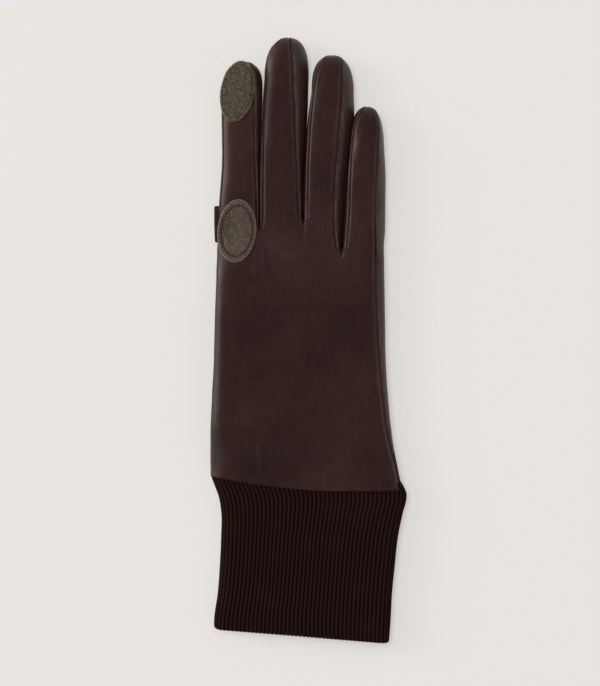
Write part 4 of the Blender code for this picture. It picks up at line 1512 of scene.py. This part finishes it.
def cuff_ends_at(x):
    """The cuff's two ends over x: under the leather's hem and at the fold."""
    across = min(max((x - FOLD_LEFT) / FOLD_WIDE, 0.0), 1.0)
    fold = CUFF_ENDS[0] + (CUFF_ENDS[1] - CUFF_ENDS[0]) * across
    edge = min(x - FOLD_CORNERS[0], FOLD_CORNERS[1] - x)
    if edge < CORNER_ROUND:
        into = 1.0 - max(edge, 0.0) / CORNER_ROUND
        fold += CORNER_ROUND * 0.55 * (1.0 - math.sqrt(max(1.0 - into**2, 0.0)))
    return hem_line(x) + CUFF_TUCK, fold


def cuff_point(share, run, layer):
    """A point on the cuff: run is 0 under the hem and 1 at the fold; layer is how far in it is."""
    guess = HEM_LOW + (CUFF_ENDS[1] - HEM_LOW) * run
    for _ in range(3):
        left, right = CUFF_LEFT.at(guess), CUFF_RIGHT.at(guess)
        half, centre = (right - left) / 2 - layer, (left + right) / 2
        lean = RIB_WANDER * math.sin(math.pi * run) * math.sin(9.0 * share)
        tall = CUFF_TALL / 2 - layer
        (x, z), direction = stadium(share + lean, half - RIB_HEIGHT * 0.5, tall - RIB_HEIGHT * 0.5)
        high, low = cuff_ends_at(centre + x)
        guess = high + (low - high) * run
    return centre + x, guess, CUFF_TALL / 2 + z, direction


def cuff_profile():
    """The cuff's rows from its outer end, round the fold, to its inner end: the run, how far in the layer
    is, how strongly the ribs stand up, and how far past the fold line it goes."""
    rows = [(FOLD_RUN * row / CUFF_OUTER_ROWS, 0.0, 1.0, 0.0) for row in range(CUFF_OUTER_ROWS)]
    for row in range(CUFF_FOLD_ROWS + 1):
        angle = math.pi * row / CUFF_FOLD_ROWS
        layer = CUFF_LAYER * (1.0 - math.cos(angle)) / 2
        rows.append((FOLD_RUN, layer, 1.0 - 0.5 * row / CUFF_FOLD_ROWS, math.sin(angle)))
    for row in range(1, CUFF_INNER_ROWS + 1):
        rows.append((FOLD_RUN * (1.0 - row / CUFF_INNER_ROWS), CUFF_LAYER, 0.5, 0.0))
    return rows


def knit_material():
    """Rib knit: V-shaped stitches up each rib, by the piece's own coordinates, and painted shade between the
    ribs.
    """
    made, tree, shader = finished("rib_knit_wool", specular=0.03, sheen=0.02, sheen_tint=(0.6, 0.4, 0.33))
    ribs = node(tree, "ShaderNodeAttribute", attribute_name="knit")
    split = tree.nodes.new("ShaderNodeSeparateXYZ")
    tree.links.new(ribs.outputs["Vector"], split.inputs["Vector"])
    across, course, crown = split.outputs
    slant = maths(tree, "ABSOLUTE", maths(tree, "SUBTRACT", maths(tree, "FRACT", across), 0.5))
    wave = maths(tree, "SINE", maths(tree, "MULTIPLY", maths(tree, "ADD", course, slant), 2 * math.pi))
    coordinates = tree.nodes.new("ShaderNodeTexCoord")
    fuzz = noise_node(tree, coordinates.outputs["Object"], FUZZ_SCALE, 3.0, 0.7)
    clouds = noise_node(tree, coordinates.outputs["Object"], PATCH_SCALE, 3.0, 0.5)
    height = maths(tree, "ADD", maths(tree, "MULTIPLY", wave, 0.5), fuzz)
    # Painted shade: the colour darkens from each rib's crown into the gap beside it.
    light = maths(tree, "ADD", ramp(tree, crown, 0.25, 0.95), maths(tree, "MULTIPLY", wave, 0.07))
    light = maths(tree, "ADD", light, ramp(tree, clouds, 0.3, 0.7, -0.10, 0.10))
    colour = mixed(tree, clamped(tree, light), KNIT_GAP_SHADE, KNIT_CROWN)
    tree.links.new(colour, shader.inputs["Base Color"])
    shader.inputs["Roughness"].default_value = 0.88
    bumped(tree, shader, height, 0.12 * MM, 0.8)
    return made


def knitted_cuff():
    """The cuff's two layers as one ribbed tube, with each point's rib, course and crown."""
    columns = RIBS * RIB_COLUMNS
    rows = cuff_profile()
    points, faces, knit = [], [], []
    for run, layer, strength, past in rows:
        for column in range(columns):
            share = column / columns
            x, y, z, direction = cuff_point(share, run, layer)
            crown = rib_profile(share)
            push = RIB_HEIGHT * (crown - 0.5) * strength
            drop = past * (0.55 + 0.55 * crown)
            points.append((x + direction[0] * push, y - drop, z + direction[1] * push))
            knit.append((share * RIBS, y / COURSE, crown))
    for row in range(len(rows) - 1):
        for column in range(columns):
            other = (column + 1) % columns
            low, high = row * columns, (row + 1) * columns
            faces.append((low + column, high + column, high + other, low + other))
    made = plain_object("knitted_cuff", points, faces, knit_material())
    attribute = made.data.attributes.new("knit", "FLOAT_VECTOR", "POINT")
    attribute.data.foreach_set("vector", [value for vector in knit for value in vector])
    return made


cuff = knitted_cuff()
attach(cuff, "hand")
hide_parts("rib_cuff")

# ---------------------------------------------------------------------------------------------------------
# The wrist seam: the cuff's raw ends and the leather's hem are sewn together from inside with waxed thread,
# and a narrow band of the lining cloth covers the seam.
# ---------------------------------------------------------------------------------------------------------
HEM_STEPS = 180


def hem_loop(inset, above):
    """Points round the wrist seam, that far in from the cuff's face and above the hem."""
    loop = []
    for step in range(HEM_STEPS):
        x, _, z, direction = cuff_point(step / HEM_STEPS, 0.0, inset)
        loop.append((Vector((x, hem_line(x) + above, z)), Vector((direction[0], 0.0, direction[1]))))
    return loop


def tape_band(name, inset, low, high, thickness, material):
    """A flat band round the inside of the wrist, from low to high above the hem."""
    points, faces = [], []
    outline = ((inset, low), (inset, high), (inset + thickness, high), (inset + thickness, low))
    for depth, above in outline:
        points += [place for place, _ in hem_loop(depth, above)]
    for row in range(len(outline)):
        here, after = row * HEM_STEPS, (row + 1) % len(outline) * HEM_STEPS
        for step in range(HEM_STEPS):
            other = (step + 1) % HEM_STEPS
            faces.append((here + step, here + other, after + other, after + step))
    return plain_object(name, points, faces, material)


seam_tape = tape_band("wrist_seam_binding", inset=2.7, low=0.6, high=5.4, thickness=0.35, material=LINING)
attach(seam_tape, "hand")
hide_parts("wrist_seam_tape")
wrist_stitches = stitches("wrist_seam_stitches", [hem_loop(inset=-0.35, above=-0.3)])
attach(wrist_stitches, "hand")
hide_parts("cuff_seam_thread")

# ---------------------------------------------------------------------------------------------------------
# The table and the light: a plain pale table top that glows a little of its own, but not under the hand, one
# broad soft light above from the upper left, a strip of warmer light low at the left, and a pale room.
# ---------------------------------------------------------------------------------------------------------
FLOOR_SIZE = 40.0
TABLE_TOOTH = 900.0
TABLE_DARK, TABLE_LIGHT = (0.350, 0.341, 0.327), (0.370, 0.361, 0.346)
TABLE_GLOW = (0.432, 0.421, 0.405)
UNDER_MIDDLE, UNDER_HALF, UNDER_FADE = (-3.0, -2.0), (27.0, 64.0), 3.0
SUN_FROM = Vector((-0.20, 0.17, 1.0))
SUN_SPREAD = math.radians(26.0)
SUN_POWER = 1.60
STRIP_AT = Vector((-2.6, 0.7, 0.75))
STRIP_SIZE = (1.0, 2.6)
STRIP_POWER = 52.0
STRIP_COLOUR = (1.0, 0.84, 0.74)
ROOM = (1.0, 0.985, 0.965)
ROOM_STRENGTH = 0.40

bpy.ops.mesh.primitive_plane_add(size=FLOOR_SIZE, location=(0.0, 0.0, 0.0))
floor = bpy.context.object
floor.name = "table"
paper, tree, shader = finished("table_paper", specular=0.1)
coordinates = tree.nodes.new("ShaderNodeTexCoord")
tooth = noise_node(tree, coordinates.outputs["Object"], TABLE_TOOTH, 3.0, 0.6)
tree.links.new(mixed(tree, tooth, TABLE_DARK, TABLE_LIGHT), shader.inputs["Base Color"])
shader.inputs["Roughness"].default_value = 0.95
# Painted light: the table glows like a lamp, which thins the shadows on it; the glow fades out under the
# hand, a painted shade there.
place = tree.nodes.new("ShaderNodeSeparateXYZ")
tree.links.new(coordinates.outputs["Object"], place.inputs["Vector"])
beyond = []
for socket, middle, half in zip("XY", UNDER_MIDDLE, UNDER_HALF):
    away = maths(tree, "ABSOLUTE", maths(tree, "SUBTRACT", place.outputs[socket], middle * MM))
    beyond.append(maths(tree, "SUBTRACT", away, half * MM))
lit = ramp(tree, maths(tree, "MAXIMUM", *beyond), 0.0, UNDER_FADE * MM)
tree.links.new(mixed(tree, lit, (0.0, 0.0, 0.0), TABLE_GLOW), shader.inputs["Emission Color"])
shader.inputs["Emission Strength"].default_value = 1.0
floor.data.materials.append(paper)

turned = SUN_FROM.to_track_quat("Z", "Y").to_euler()
bpy.ops.object.light_add(type="SUN", rotation=turned)
sun = bpy.context.object
sun.name = "key_light"
sun.data.energy = SUN_POWER
sun.data.angle = SUN_SPREAD
turned = STRIP_AT.to_track_quat("Z", "Y").to_euler()
bpy.ops.object.light_add(type="AREA", location=STRIP_AT, rotation=turned)
strip = bpy.context.object
strip.name = "side_light"
strip.data.shape = "RECTANGLE"
strip.data.size, strip.data.size_y = STRIP_SIZE
strip.data.energy = STRIP_POWER
strip.data.color = STRIP_COLOUR

room = bpy.data.worlds.new("pale_room")
bpy.context.scene.world = room
room.use_nodes = True
room.node_tree.nodes["Background"].inputs["Color"].default_value = (*ROOM, 1.0)
room.node_tree.nodes["Background"].inputs["Strength"].default_value = ROOM_STRENGTH
bpy.context.scene.view_settings.view_transform = "Standard"
